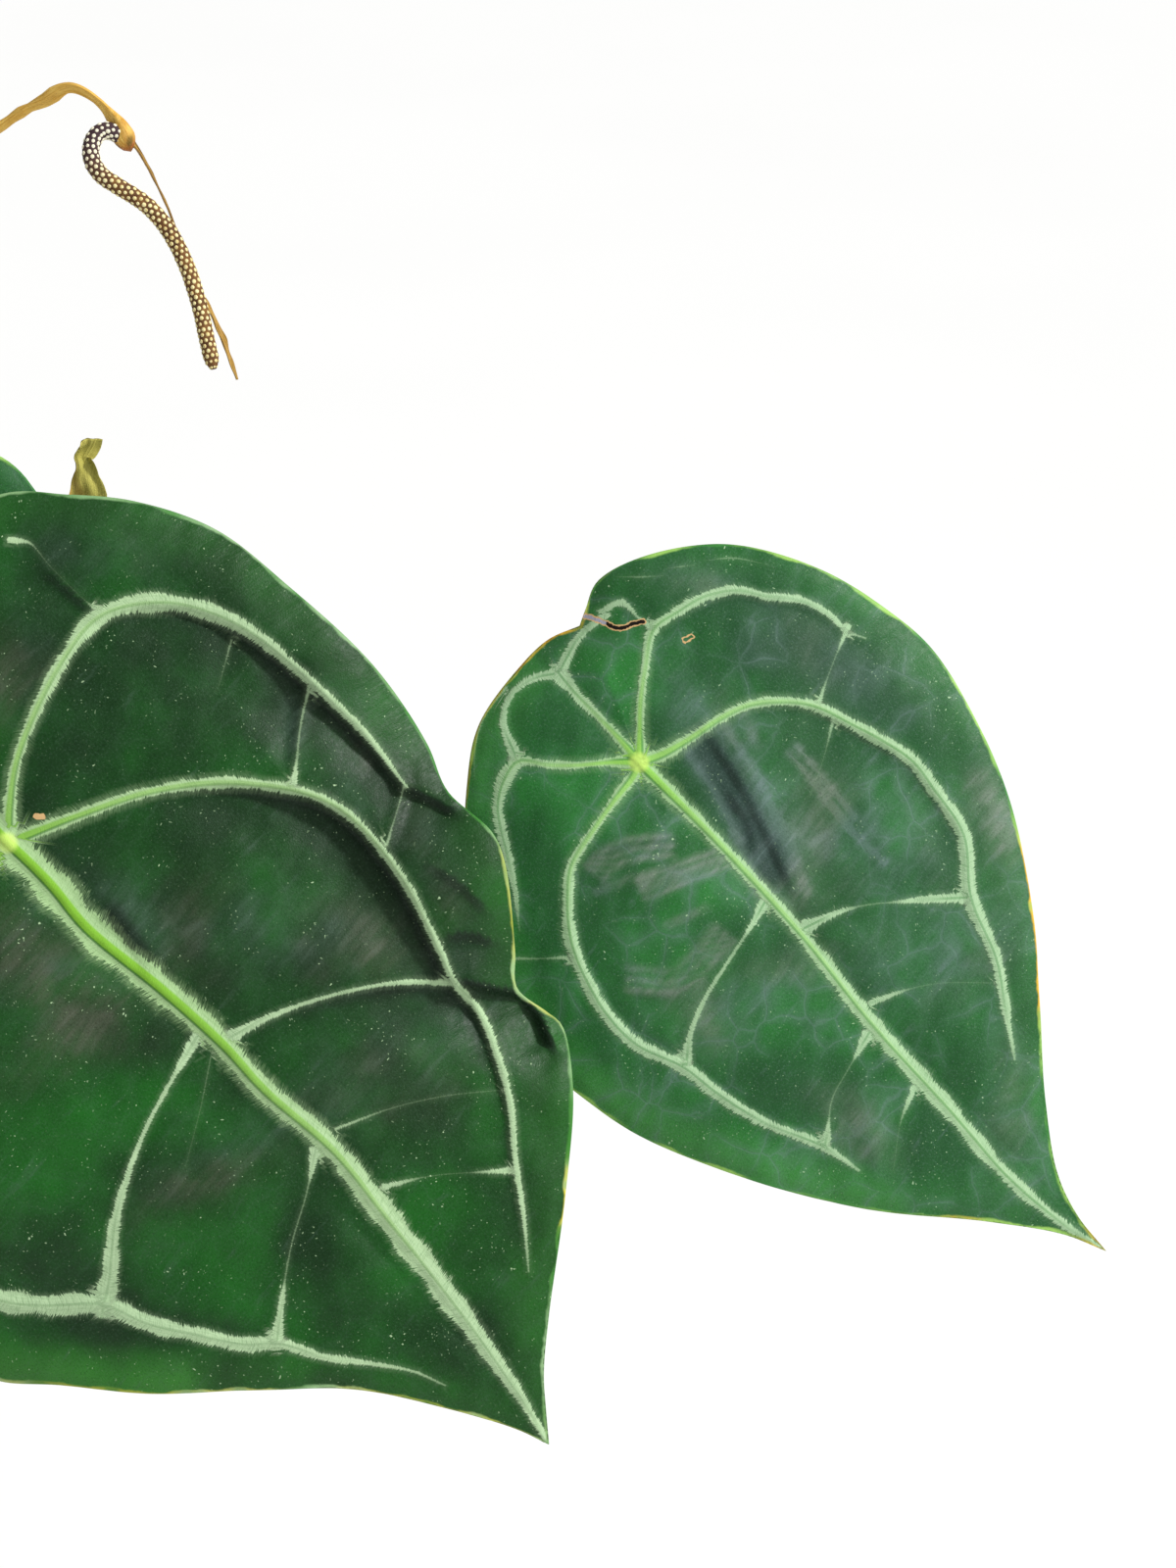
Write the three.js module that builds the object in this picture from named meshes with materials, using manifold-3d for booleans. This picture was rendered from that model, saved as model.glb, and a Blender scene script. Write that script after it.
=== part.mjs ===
// Potted velvet anthurium: shield-shaped leaves with a raised vein net and two withered flower stalks
// on a short stem, in a plain clay pot. Millimetres, +Z up. The origin is the centre of the pot's flat
// foot, and the plant's front faces -Y.
import * as THREE from "three";
import { mergeVertices } from "three/addons/utils/BufferGeometryUtils.js";
import Module from "manifold-3d";

const wasm = await Module();
wasm.setup();

const { PI, abs, cos, exp, sin, sqrt } = Math;
const radians = PI / 180;

// Clearance between two pieces that touch
const seam = 0.3;

// Pot
const potHeight = 132;
const potRimRadius = 75;
const potShoulderRadius = 69;
const potFootRadius = 50;
const potWall = 6.5;
const rimBand = 28;
const drainRadius = 5;
const drainCircle = 27;
const drainCount = 4;

// Soil
const soilLevel = 118;
const soilLump = 1.7;
const soilRings = 6;
const soilSectors = 22;

// Stem
const stemFoot = 103;
const stemTop = 168;
const stemRadius = 12;
const scarSpacing = 9;
const scarProud = 0.9;

// Leaves
const bladeThickness = 0.9;
const veinCrest = 0.5;
const veinKeel = 1.7;
const veinFoot = 2.4;
const petioleRadius = 2.5;
const sheathRadius = 4;
const jointRadius = 3.1;
const jointLength = 10;
const socketDepth = 5;

// Flower stalks
const spadixRadius = 2.35;
const knobProud = 0.3;
const strapThickness = 0.9;

const finishes = {
  clay: { color: 0xb3694a, roughness: 0.9 },
  soil: { color: 0x3a2c22, roughness: 1 },
  stem: { color: 0x6b5a3c, roughness: 0.85 },
  petiole: { color: 0x6f8f4a, roughness: 0.55 },
  darkBlade: { color: 0x2c4d2a, roughness: 0.5 },
  greenBlade: { color: 0x38693d, roughness: 0.5 },
  youngBlade: { color: 0x5f8a3c, roughness: 0.45 },
  driedStalk: { color: 0xd9b45e, roughness: 0.7 },
  driedSpathe: { color: 0x8f7a35, roughness: 0.75 },
  driedSpadix: { color: 0x5a4034, roughness: 0.8 },
};

// Outlines and veins lie in the leaf's own plane: x runs from the petiole joint to the tip, y to the
// right when the upper face is seen with the tip pointing away. Each side goes from the back of the
// leaf to its tip.
const broadShape = {
  right: [
    [-74, 0], [-73, 20], [-65, 54], [-54, 66], [-42, 77], [-24, 87], [-2, 91], [26, 93.5], [49, 90.5],
    [61, 86.6], [76, 88], [84, 85], [101, 72.6], [108, 67], [117, 68.4], [122, 69], [135, 61],
    [153, 42.4], [172, 20], [182, 9.3], [189, 3.7], [196, -1.6],
  ],
  left: [
    [-74, 0], [-70, -24], [-61, -47], [-45, -70], [-19, -88], [20, -97], [60, -99], [84, -96], [95, -91],
    [105, -80.5], [121, -65.5], [138, -45], [154, -27], [173, -13.5], [188, -4.7], [196, -1.6],
  ],
  veins: [
    { size: 1, points: [[-3, 0], [28, 0.6], [63, 5], [108, 8.8], [139, 6.2], [167, 3], [190, 0]] },
    {
      size: 0.62,
      points: [[0, 0], [6, 17], [14, 35], [27, 52], [45, 64], [67, 65], [97, 57], [126, 48], [159, 24]],
    },
    {
      size: 0.62,
      points: [
        [0, 0], [4, -18], [12, -39], [26, -60], [46, -75], [66, -79], [89, -69], [118, -47], [143, -27],
        [167, -11],
      ],
    },
    { size: 0.55, points: [[0, 0], [-14, 16], [-24, 39], [-25, 54], [-12, 72], [6, 78], [28, 81], [53, 80]] },
    {
      size: 0.55,
      points: [[0, 0], [-14, -16], [-24, -39], [-25, -56], [-12, -74], [8, -83], [34, -87], [56, -87]],
    },
    { size: 0.36, points: [[70, 8], [76, 27], [88, 47], [97, 56]] },
    { size: 0.36, points: [[65, 3], [73, -21], [86, -43], [98, -57]] },
    { size: 0.3, points: [[105, 5], [117, -17], [132, -32]] },
    { size: 0.3, points: [[19, 78], [26, 71], [35, 60]] },
  ],
};
const notchedShape = {
  right: [
    [-35, 13], [-37, 17], [-40, 24], [-36, 37.5], [-24, 54], [-4, 66], [15, 71.5], [30, 73], [52, 68],
    [72, 60], [97, 44], [112, 31.4], [131, 15.4], [147, 4.6], [158, 1], [170, 0],
  ],
  left: [
    [-35, 13], [-38, 5], [-38, -5], [-34.5, -22.5], [-25.6, -35], [-8, -52], [14, -65], [34, -69.5],
    [52, -68], [68, -64.5], [93, -53], [119, -37], [144, -16], [159, -5], [170, 0],
  ],
  veins: [
    { size: 0.85, points: [[-2, 0], [39, 0.3], [72, -1.5], [107, -3.2], [139, -5.1], [164, -1.5]] },
    { size: 0.5, points: [[0, 0], [5, 13], [8, 29], [20, 41], [46, 49.5], [69, 46], [90, 33], [117, 17]] },
    {
      size: 0.5,
      points: [[0, 0], [3, -12], [7, -30], [24, -45], [44, -49.5], [73, -43], [101, -33], [128, -19]],
    },
    { size: 0.45, points: [[0, 0], [-11, 11], [-21, 26], [-18, 40], [-8, 51], [6, 60], [24, 62]] },
    { size: 0.4, points: [[0, 0], [-10, -12], [-20, -22], [-17, -33], [-6, -46], [14, -58], [34, -61]] },
    { size: 0.4, points: [[0, 0], [-15, 0.7], [-29, 1]] },
    { size: 0.3, points: [[58, 1], [65, 16], [80, 36]] },
    { size: 0.3, points: [[47, -1], [51, -18], [62, -44]] },
    { size: 0.28, points: [[88, -3], [94, -23], [101, -32]] },
  ],
};
const plainSide = [
  [-46, 0], [-44, 17], [-38, 34], [-26, 50], [-8, 63], [14, 70.5], [38, 71.5], [62, 65], [84, 53.5],
  [104, 40], [122, 25.5], [138, 13], [152, 5], [170, 0],
];
const plainVeinsOneSide = [
  { size: 0.5, points: [[0, 0], [6, 15], [15, 31], [30, 43], [50, 48], [72, 43], [95, 31], [132, 12]] },
  { size: 0.42, points: [[0, 0], [-10, 10], [-20, 24], [-20, 36], [-10, 50], [6, 58], [28, 61]] },
  { size: 0.3, points: [[50, 0], [56, 18], [70, 43]] },
];
const mirrored = (points) => points.map(([x, y]) => [x, -y]);
const plainShape = {
  right: plainSide,
  left: mirrored(plainSide),
  veins: [
    { size: 0.85, points: [[-2, 0], [40, 0], [90, 0], [162, 0]] },
    ...plainVeinsOneSide,
    ...plainVeinsOneSide.map((vein) => ({ ...vein, points: mirrored(vein.points) })),
  ],
};

// Each leaf: its joint with the petiole, the way its tip and its upper face point, how far its tip,
// sides and back hang below the joint, the wave of its margin, local swells [x, y, height, radius],
// and the petiole's route.
const leaves = [
  {
    name: "front_leaf",
    shape: broadShape,
    finish: finishes.darkBlade,
    scale: 1,
    marginStep: 9,
    veinStep: 11,
    fillStep: 17,
    hub: [50.8, -14.6, 388.6],
    toTip: [0.668, -0.2545, -0.6993],
    faceUp: [0, -0.94, 0.342],
    tipDrop: 14,
    sideDrop: 12,
    backDrop: 10,
    wave: 1.6,
    wavePhase: 0.5,
    swells: [[82, 88, 7, 15], [113, 74, -8, 12], [40, -60, 3, 25]],
    socket: { turn: -40, height: 156 },
    route: [[15, -7, 200], [24, 1, 255], [38, 6, 320], [48, 3, 366]],
  },
  {
    name: "right_leaf",
    shape: notchedShape,
    finish: finishes.greenBlade,
    scale: 1,
    marginStep: 8,
    veinStep: 10,
    fillStep: 16,
    hub: [202.7, 24.9, 394.9],
    toTip: [0.6917, -0.247, -0.6786],
    faceUp: [0, -0.94, 0.342],
    tipDrop: 10,
    sideDrop: 9,
    backDrop: 7,
    wave: 1.3,
    wavePhase: 2.2,
    swells: [[40, 20, -2.5, 12], [-34, 34, 2.5, 9]],
    socket: { turn: 25, height: 150 },
    route: [[25, 13, 212], [46, 25, 258], [90, 38, 314], [140, 42, 347], [180, 43, 372]],
  },
  {
    name: "left_rear_leaf",
    shape: plainShape,
    finish: finishes.greenBlade,
    scale: 1.15,
    marginStep: 11,
    veinStep: 14,
    fillStep: 20,
    hub: [-1, 79.3, 412.7],
    toTip: [-0.2, -0.33, -0.92],
    faceUp: [-0.1, -0.92, 0.38],
    tipDrop: 16,
    sideDrop: 10,
    backDrop: 6,
    wave: 2.4,
    wavePhase: 1.1,
    swells: [],
    socket: { turn: 110, height: 154 },
    route: [[-15, 38, 240], [-16, 72, 330], [-6, 93, 388]],
  },
  {
    name: "left_leaf",
    shape: plainShape,
    finish: finishes.darkBlade,
    scale: 1.02,
    marginStep: 11,
    veinStep: 14,
    fillStep: 20,
    hub: [-88, -30, 340],
    toTip: [-0.55, -0.1, -0.83],
    faceUp: [-0.45, -0.75, 0.48],
    tipDrop: 20,
    sideDrop: 12,
    backDrop: 6,
    wave: 2.2,
    wavePhase: 3.4,
    swells: [],
    socket: { turn: 185, height: 146 },
    route: [[-28, -6, 200], [-55, -10, 268], [-74, -13, 315]],
  },
  {
    name: "rear_leaf",
    shape: plainShape,
    finish: finishes.greenBlade,
    scale: 0.9,
    marginStep: 11,
    veinStep: 14,
    fillStep: 20,
    hub: [50, 118, 318],
    toTip: [0.45, 0.45, -0.77],
    faceUp: [0.3, 0.75, 0.6],
    tipDrop: 18,
    sideDrop: 11,
    backDrop: 6,
    wave: 2.2,
    wavePhase: 0.2,
    swells: [],
    socket: { turn: 70, height: 139 },
    route: [[11, 36, 200], [22, 70, 262], [37, 97, 296]],
  },
  {
    name: "young_leaf",
    shape: plainShape,
    finish: finishes.youngBlade,
    scale: 0.56,
    marginStep: 13,
    veinStep: 17,
    fillStep: 24,
    hub: [-45, -62, 262],
    toTip: [-0.4, -0.5, -0.76],
    faceUp: [-0.35, -0.7, 0.62],
    tipDrop: 22,
    sideDrop: 14,
    backDrop: 8,
    wave: 1.5,
    wavePhase: 2.8,
    swells: [],
    socket: { turn: 235, height: 140 },
    route: [[-17, -26, 190], [-31, -42, 232]],
  },
];

// Two flower stalks: the peduncle's route, the spadix that hangs from its end, and the withered
// spathe.
const flowers = [
  {
    name: "tall_flower",
    peduncle: [
      [-1, 3, 160], [-1, 8, 185], [3, 22, 250], [9, 42, 348], [16, 63, 447], [25, 87, 512], [35, 95, 537],
      [47, 93, 547], [60.3, 87.9, 553.3], [67, 84.8, 550.5], [73, 82, 543], [75.6, 80.8, 538],
    ],
    peduncleFlat: 0.62,
    spadix: [
      [74.5, 81, 540.8], [70.9, 81.1, 543.3], [67.3, 79.7, 542.4], [65.3, 77.1, 538.2], [67, 75.2, 532.9],
      [71.9, 73.9, 529.5], [80.3, 73.2, 524.7], [85.5, 72.1, 518.8], [89.8, 70.2, 510.5], [93, 66.9, 501.3],
      [95.2, 63.5, 492.2], [96.7, 61.3, 486],
    ],
    spadixSteps: 54,
    spathe: [
      [76, 80.6, 539.5], [78.6, 81.4, 535.4], [81.3, 81.5, 529.9], [84.5, 80.6, 523], [91, 76, 506],
      [97.5, 69.5, 494], [102.4, 61.4, 483.4],
    ],
    spatheHalfWidths: [1.6, 0.9, 1, 1.2, 1.3, 1.1, 0.3],
    spatheSide: [0.35, 0.9, 0.25],
  },
  {
    name: "short_flower",
    peduncle: [
      [4, 1, 160], [7, 6, 190], [13, 18, 230], [27, 36, 320], [47, 52, 392], [58, 61, 422], [62, 65, 431],
    ],
    peduncleFlat: 0.8,
    spadix: [
      [62, 62.5, 431], [66, 58.5, 432], [72, 55, 428], [75, 54, 418], [74, 53, 404], [71, 52, 388],
      [69, 51, 370],
    ],
    spadixSteps: 34,
    spathe: [
      [61.5, 67.5, 431], [63.6, 67.3, 440], [64, 67.5, 450], [63, 68.3, 458], [62.8, 68.8, 463],
      [65, 67.6, 465.3], [67.6, 66.8, 465.6],
    ],
    spatheHalfWidths: [2.2, 4.4, 4.8, 4.9, 3.4, 2.2, 0.5],
    spatheSide: [0.94, 0.2, 0.2],
  },
];

// Scale leaves left round the stem: turn, height and length
const scaleLeaves = [
  { turn: -86, height: 146, length: 34 },
  { turn: 148, height: 142, length: 30 },
  { turn: 212, height: 150, length: 26 },
];
const scaleHalfWidth = 4.6;
const scaleThickness = 0.8;

// Roots that arch from the stem into the soil: turn, height and reach
const roots = [
  { turn: 10, height: 130, reach: 27 },
  { turn: 92, height: 127, reach: 22 },
  { turn: 160, height: 131, reach: 29 },
  { turn: 228, height: 128, reach: 24 },
  { turn: 305, height: 130, reach: 31 },
];
const rootRadius = 1.9;

// Solids and curves

function geometryOf(solid) {
  const mesh = solid.getMesh();
  const geometry = new THREE.BufferGeometry();
  geometry.setAttribute("position", new THREE.BufferAttribute(mesh.vertProperties, mesh.numProp));
  geometry.setIndex(new THREE.BufferAttribute(mesh.triVerts, 1));
  geometry.computeVertexNormals();
  return geometry;
}

// A closed geometry as a solid, with its shared vertices merged and its collapsed faces dropped.
function solidOf(geometry) {
  const bare = new THREE.BufferGeometry();
  bare.setAttribute("position", geometry.getAttribute("position"));
  bare.setIndex(geometry.getIndex());
  const merged = mergeVertices(bare, 1e-4);
  const triVerts = [];
  for (let i = 0; i < merged.index.count; i += 3) {
    const [a, b, c] = [0, 1, 2].map((k) => merged.index.getX(i + k));
    if (a !== b && b !== c && c !== a) triVerts.push(a, b, c);
  }
  return new wasm.Manifold(
    new wasm.Mesh({
      numProp: 3,
      vertProperties: merged.attributes.position.array,
      triVerts: new Uint32Array(triVerts),
    }),
  );
}

const curveThrough = (points) =>
  new THREE.CatmullRomCurve3(points.map(([x, y, z = 0]) => new THREE.Vector3(x, y, z)));

const mix = (a, b, share) => a + (b - a) * share;

function smoothStep(from, to, value) {
  const share = THREE.MathUtils.clamp((value - from) / (to - from), 0, 1);
  return share * share * (3 - 2 * share);
}

// A value read off a list of evenly spaced samples.
function sampleAt(samples, share) {
  const place = share * (samples.length - 1);
  const index = Math.min(Math.floor(place), samples.length - 2);
  return mix(samples[index], samples[index + 1], place - index);
}

// A cylinder bent along a route. halfSizes(share, turn) gives its half width and half height there,
// and side, where one is given, is the way that its width lies.
function limb(route, sides, steps, halfSizes, side) {
  const geometry = new THREE.CylinderGeometry(1, 1, 1, sides, steps);
  const position = geometry.getAttribute("position");
  const frames = route.computeFrenetFrames(steps, false);
  const vertex = new THREE.Vector3();
  for (let i = 0; i < position.count; i++) {
    vertex.fromBufferAttribute(position, i);
    const share = 0.5 - vertex.y;
    const station = Math.round(share * steps);
    const tangent = frames.tangents[station];
    const across = frames.normals[station].clone();
    if (side) across.copy(side).addScaledVector(tangent, -side.dot(tangent)).normalize();
    const upward = new THREE.Vector3().crossVectors(tangent, across);
    const [halfWidth, halfHeight] = halfSizes(share, Math.atan2(vertex.x, vertex.z));
    const place = route.getPointAt(share);
    place.addScaledVector(across, vertex.x * halfWidth).addScaledVector(upward, vertex.z * halfHeight);
    position.setXYZ(i, place.x, place.y, place.z);
  }
  return solidOf(geometry);
}

// The main body of a solid that a cut may have left scraps of.
const mainBody = (solid) => solid.decompose().sort((a, b) => b.volume() - a.volume())[0];

// Leaves

function leafFrame(leaf) {
  const faceUp = new THREE.Vector3(...leaf.faceUp).normalize();
  const toTip = new THREE.Vector3(...leaf.toTip);
  toTip.addScaledVector(faceUp, -toTip.dot(faceUp)).normalize();
  const toRight = new THREE.Vector3().crossVectors(faceUp, toTip);
  return new THREE.Matrix4().makeBasis(toTip, toRight, faceUp).setPosition(...leaf.hub);
}

// Height of the upper face over the leaf's plane: it arches to the tip, sides and back, lies a little
// lower along the midrib, and its margin waves.
function bladeHeight(leaf, x, y) {
  const reach = leaf.shape.right.at(-1)[0];
  const back = leaf.shape.right[0][0];
  const halfWidth = Math.max(...leaf.shape.right.map((point) => point[1]));
  const along = x > 0 ? leaf.tipDrop * (x / reach) ** 2 : leaf.backDrop * (x / back) ** 2;
  const across = leaf.sideDrop * (y / halfWidth) ** 2;
  const channel = 1.6 * (1 - exp(-abs(y) / 14));
  const wave = leaf.wave * (abs(y) / halfWidth) ** 3 * sin(x / 11 + leaf.wavePhase + (y > 0 ? 0 : 2));
  let height = channel + wave - along - across;
  for (const [swellX, swellY, rise, radius] of leaf.swells) {
    height += rise * exp(-((x - swellX) ** 2 + (y - swellY) ** 2) / (2 * radius ** 2));
  }
  return height;
}

// Triangles over points in a plane. Each point in turn clears the triangles whose circle holds it, and
// fans out over the edges of the hole that they leave.
function triangulate(points) {
  const far = 1e4;
  const all = [...points, [-far, -far], [far, -far], [0, far]];
  const withCircle = (corners) => {
    const [[ax, ay], [bx, by], [cx, cy]] = corners.map((corner) => all[corner]);
    const area = (bx - ax) * (cy - ay) - (by - ay) * (cx - ax);
    const [b, c] = [(bx - ax) ** 2 + (by - ay) ** 2, (cx - ax) ** 2 + (cy - ay) ** 2];
    const x = ((cy - ay) * b - (by - ay) * c) / (2 * area);
    const y = ((bx - ax) * c - (cx - ax) * b) / (2 * area);
    return { corners, x: ax + x, y: ay + y, reach: x * x + y * y };
  };
  let triangles = [withCircle([0, 1, 2].map((k) => points.length + k))];
  points.forEach(([x, y], point) => {
    const holds = (t) => (t.x - x) ** 2 + (t.y - y) ** 2 < t.reach;
    const edges = triangles.filter(holds).flatMap(({ corners: [a, b, c] }) => [[a, b], [b, c], [c, a]]);
    const inner = new Set(edges.map(([from, to]) => to + " " + from));
    const rim = edges.filter(([from, to]) => !inner.has(from + " " + to));
    triangles = triangles.filter((t) => !holds(t));
    triangles.push(...rim.map(([from, to]) => withCircle([from, to, point])));
  });
  return triangles.map((t) => t.corners).filter((corners) => Math.max(...corners) < points.length);
}

function isInside([x, y], outline) {
  let inside = false;
  outline.forEach(([ax, ay], i) => {
    const [bx, by] = outline[(i + 1) % outline.length];
    if (ay > y !== by > y && x < ax + ((bx - ax) * (y - ay)) / (by - ay)) inside = !inside;
  });
  return inside;
}

const evenly = (curve, count) => curve.getSpacedPoints(count).map(({ x, y }) => [x, y]);

// Points of the blade in its plane, each with the share of a vein's ridge that it carries: the
// outline, the crest and both feet of each vein, and a loose fill between them.
function bladePoints(leaf) {
  const { right, left, veins } = leaf.shape;
  const [rightMargin, leftMargin] = [right, left].map((side) => {
    const curve = curveThrough(side);
    return evenly(curve, Math.round(curve.getLength() / leaf.marginStep));
  });
  const outline = [...rightMargin, ...leftMargin.reverse().slice(1, -1)];
  const points = outline.map(([x, y]) => ({ x, y, ridge: 0 }));
  const add = (x, y, ridge, room) => {
    const isFree = points.every((point) => Math.hypot(point.x - x, point.y - y) > room);
    if (isFree && isInside([x, y], outline)) points.push({ x, y, ridge });
  };
  const stations = veins.flatMap(({ size, points: line }) => {
    const curve = curveThrough(line);
    const count = Math.round(curve.getLength() / leaf.veinStep);
    return evenly(curve, count).map(([x, y], i) => {
      const ridge = size * mix(1, 0.35, i / count);
      const { x: alongX, y: alongY } = curve.getTangentAt(i / count);
      return { x, y, ridge, alongX, alongY };
    });
  });
  for (const { x, y, ridge } of stations) add(x, y, ridge, 2);
  for (const { x, y, ridge, alongX, alongY } of stations) {
    const foot = Math.max(veinFoot * ridge, 1.3);
    add(x - alongY * foot, y + alongX * foot, 0, 1.2);
    add(x + alongY * foot, y - alongX * foot, 0, 1.2);
  }
  for (let x = -80; x < 200; x += leaf.fillStep) {
    for (let y = -100; y < 100; y += leaf.fillStep) {
      add(x + 3 * sin(y), y + 3 * sin(x), 0, 0.55 * leaf.fillStep);
    }
  }
  return { outline, points };
}

// The blade in its leaf's frame. Its two faces have the same triangles, and the veins stand proud of
// both.
function bladeSolid(leaf, grow = 0) {
  const { outline, points } = bladePoints(leaf);
  const flat = points.map(({ x, y }) => [x, y]);
  const centre = (corners, axis) => corners.reduce((sum, corner) => sum + flat[corner][axis] / 3, 0);
  const isBlade = (corners) => isInside([centre(corners, 0), centre(corners, 1)], outline);
  const upper = triangulate(flat).filter(isBlade);
  const lower = upper.map(([a, b, c]) => [a, c, b].map((corner) => corner + points.length));
  const edges = upper.flatMap(([a, b, c]) => [[a, b], [b, c], [c, a]]);
  const shared = new Set(edges.map(([from, to]) => to + " " + from));
  const rim = edges.filter(([from, to]) => !shared.has(from + " " + to));
  const sides = rim.flatMap(([from, to]) => {
    const [fromBelow, toBelow] = [from + points.length, to + points.length];
    return [[to, from, fromBelow], [to, fromBelow, toBelow]];
  });
  const heights = points.map(({ x, y }) => leaf.scale * bladeHeight(leaf, x, y));
  const face = (lift) =>
    points.flatMap(({ x, y, ridge }, i) => [x * leaf.scale, y * leaf.scale, heights[i] + lift(ridge)]);
  const top = face((ridge) => veinCrest * ridge + grow);
  const bottom = face((ridge) => -bladeThickness - veinKeel * ridge - grow);
  const geometry = new THREE.BufferGeometry();
  geometry.setAttribute("position", new THREE.Float32BufferAttribute([...top, ...bottom], 3));
  geometry.setIndex([...upper, ...lower, ...sides].flat());
  return solidOf(geometry);
}

// The petiole: a widened sheath at the stem, a long even stalk, and a thicker joint under the blade.
function petioleSolid(leaf, grow = 0) {
  const turn = leaf.socket.turn * radians;
  const out = (radius, height) => [radius * cos(turn), radius * sin(turn), leaf.socket.height + height];
  const below = (depth) => new THREE.Vector3(0, 0, -depth).applyMatrix4(leafFrame(leaf)).toArray();
  const route = curveThrough([
    out(socketDepth, 0), out(stemRadius + 3, 13), ...leaf.route, below(1.1 * jointLength), below(0.3),
  ]);
  const length = route.getLength();
  const slim = sqrt(leaf.scale);
  const radiusAt = (share) => {
    const sheath = (sheathRadius - petioleRadius) * (1 - smoothStep(12, 48, share * length));
    const inSocket = 1.4 * (1 - smoothStep(0, 9, share * length));
    const joint = (jointRadius - petioleRadius) * smoothStep(length - 1.4 * jointLength, length - jointLength,
      share * length);
    return slim * (petioleRadius + sheath - inSocket + joint) + grow;
  };
  return limb(route, 8, Math.round(length / 15), (share) => [radiusAt(share), radiusAt(share)]);
}

// Flower stalks

function peduncleSolid(flower, grow = 0) {
  const route = curveThrough(flower.peduncle);
  const steps = flower.peduncle.length * 3;
  const halfSizes = (share) => {
    const withered = 1.75 + 0.25 * sin(share * 41);
    const neck = 0.7 * exp(-(((share - 0.955) / 0.02) ** 2));
    const knot = 0.9 * smoothStep(0.97, 1, share);
    const size = withered - neck + knot;
    return [size * mix(1, flower.peduncleFlat, smoothStep(0.6, 0.9, share)) + grow, size + grow];
  };
  return limb(route, 7, steps, halfSizes, new THREE.Vector3(0.3, 0.9, 0.2));
}

// The spadix: a slim finger whose flower knobs stand out of it in a staggered net.
function spadixSolid(flower) {
  const route = curveThrough(flower.spadix);
  const sides = 10;
  const halfSizes = (share, turn) => {
    const station = Math.round(share * flower.spadixSteps);
    const place = Math.round(((turn + PI) / (2 * PI)) * sides);
    const knob = (station + place) % 2 === 0 ? knobProud : -knobProud;
    const rounded = sqrt(1 - smoothStep(0.955, 1.02, share));
    const size = (spadixRadius * mix(1, 0.9, share) + knob) * rounded;
    return [size, size];
  };
  return limb(route, sides, flower.spadixSteps, halfSizes);
}

function spatheSolid(flower) {
  const route = curveThrough(flower.spathe);
  const side = new THREE.Vector3(...flower.spatheSide).normalize();
  const halfSizes = (share) => [sampleAt(flower.spatheHalfWidths, share), strapThickness / 2];
  return limb(route, 4, 18, halfSizes, side);
}

// Stem, soil and pot

function scaleLeafSolid({ turn, height, length }) {
  const angle = turn * radians;
  const place = (radius, z) => [radius * cos(angle), radius * sin(angle), z];
  const route = curveThrough([
    place(stemRadius - 1.5, height - 6), place(stemRadius + 1.2, height + length * 0.2),
    place(stemRadius + 3, height + length * 0.6), place(stemRadius + 7, height + length),
  ]);
  const side = new THREE.Vector3(-sin(angle), cos(angle), 0);
  const halfSizes = (share) => [scaleHalfWidth * sqrt(1 - 0.97 * share ** 2), scaleThickness / 2];
  return limb(route, 4, 6, halfSizes, side);
}

function rootSolid({ turn, height, reach }, grow = 0) {
  const angle = turn * radians;
  const place = (radius, swing, z) => [radius * cos(angle + swing), radius * sin(angle + swing), z];
  const route = curveThrough([
    place(stemRadius - 5, 0, height + 2), place(stemRadius + 4, 0.05, height - 1),
    place(reach * 0.8, 0.18, soilLevel + 5), place(reach, 0.26, soilLevel - 10),
  ]);
  const radiusAt = (share) => rootRadius * mix(1, 0.7, share) + grow;
  return limb(route, 5, 6, (share) => [radiusAt(share), radiusAt(share)]);
}

// The stem's core is ringed by old leaf scars.
function stemCore(grow = 0) {
  const profile = [new THREE.Vector2(0, stemFoot - grow)];
  const ringCount = Math.floor((stemTop - 6 - stemFoot) / (scarSpacing / 2));
  for (let ring = 0; ring <= ringCount; ring++) {
    const height = stemFoot + ring * (scarSpacing / 2);
    const foot = mix(0.7, 1, smoothStep(stemFoot, stemFoot + 22, height));
    const scar = ring % 2 === 0 ? -scarProud : scarProud;
    profile.push(new THREE.Vector2(stemRadius * foot + scar + grow, height));
  }
  profile.push(new THREE.Vector2(stemRadius * 0.62, stemTop - 1), new THREE.Vector2(0, stemTop + grow));
  return solidOf(new THREE.LatheGeometry(profile, 13).rotateX(PI / 2));
}

function stemSolid() {
  const pieces = [...scaleLeaves.map(scaleLeafSolid), ...roots.map((root) => rootSolid(root))];
  return pieces.reduce((whole, piece) => whole.add(piece), stemCore());
}

// The rolled new leaf that stands in the stem's top.
function newShootSolid(grow = 0) {
  const route = curveThrough([[-1, -3, 160], [-2, -4, 185], [-5, -7, 212], [-10, -11, 240]]);
  const radiusAt = (share) => 3.4 * sqrt(1 - 0.985 * share ** 2) + grow;
  return limb(route, 8, 10, (share) => [radiusAt(share), radiusAt(share)]);
}

const potRadiusAt = (height) => mix(potFootRadius, potShoulderRadius, height / (potHeight - rimBand));

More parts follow.
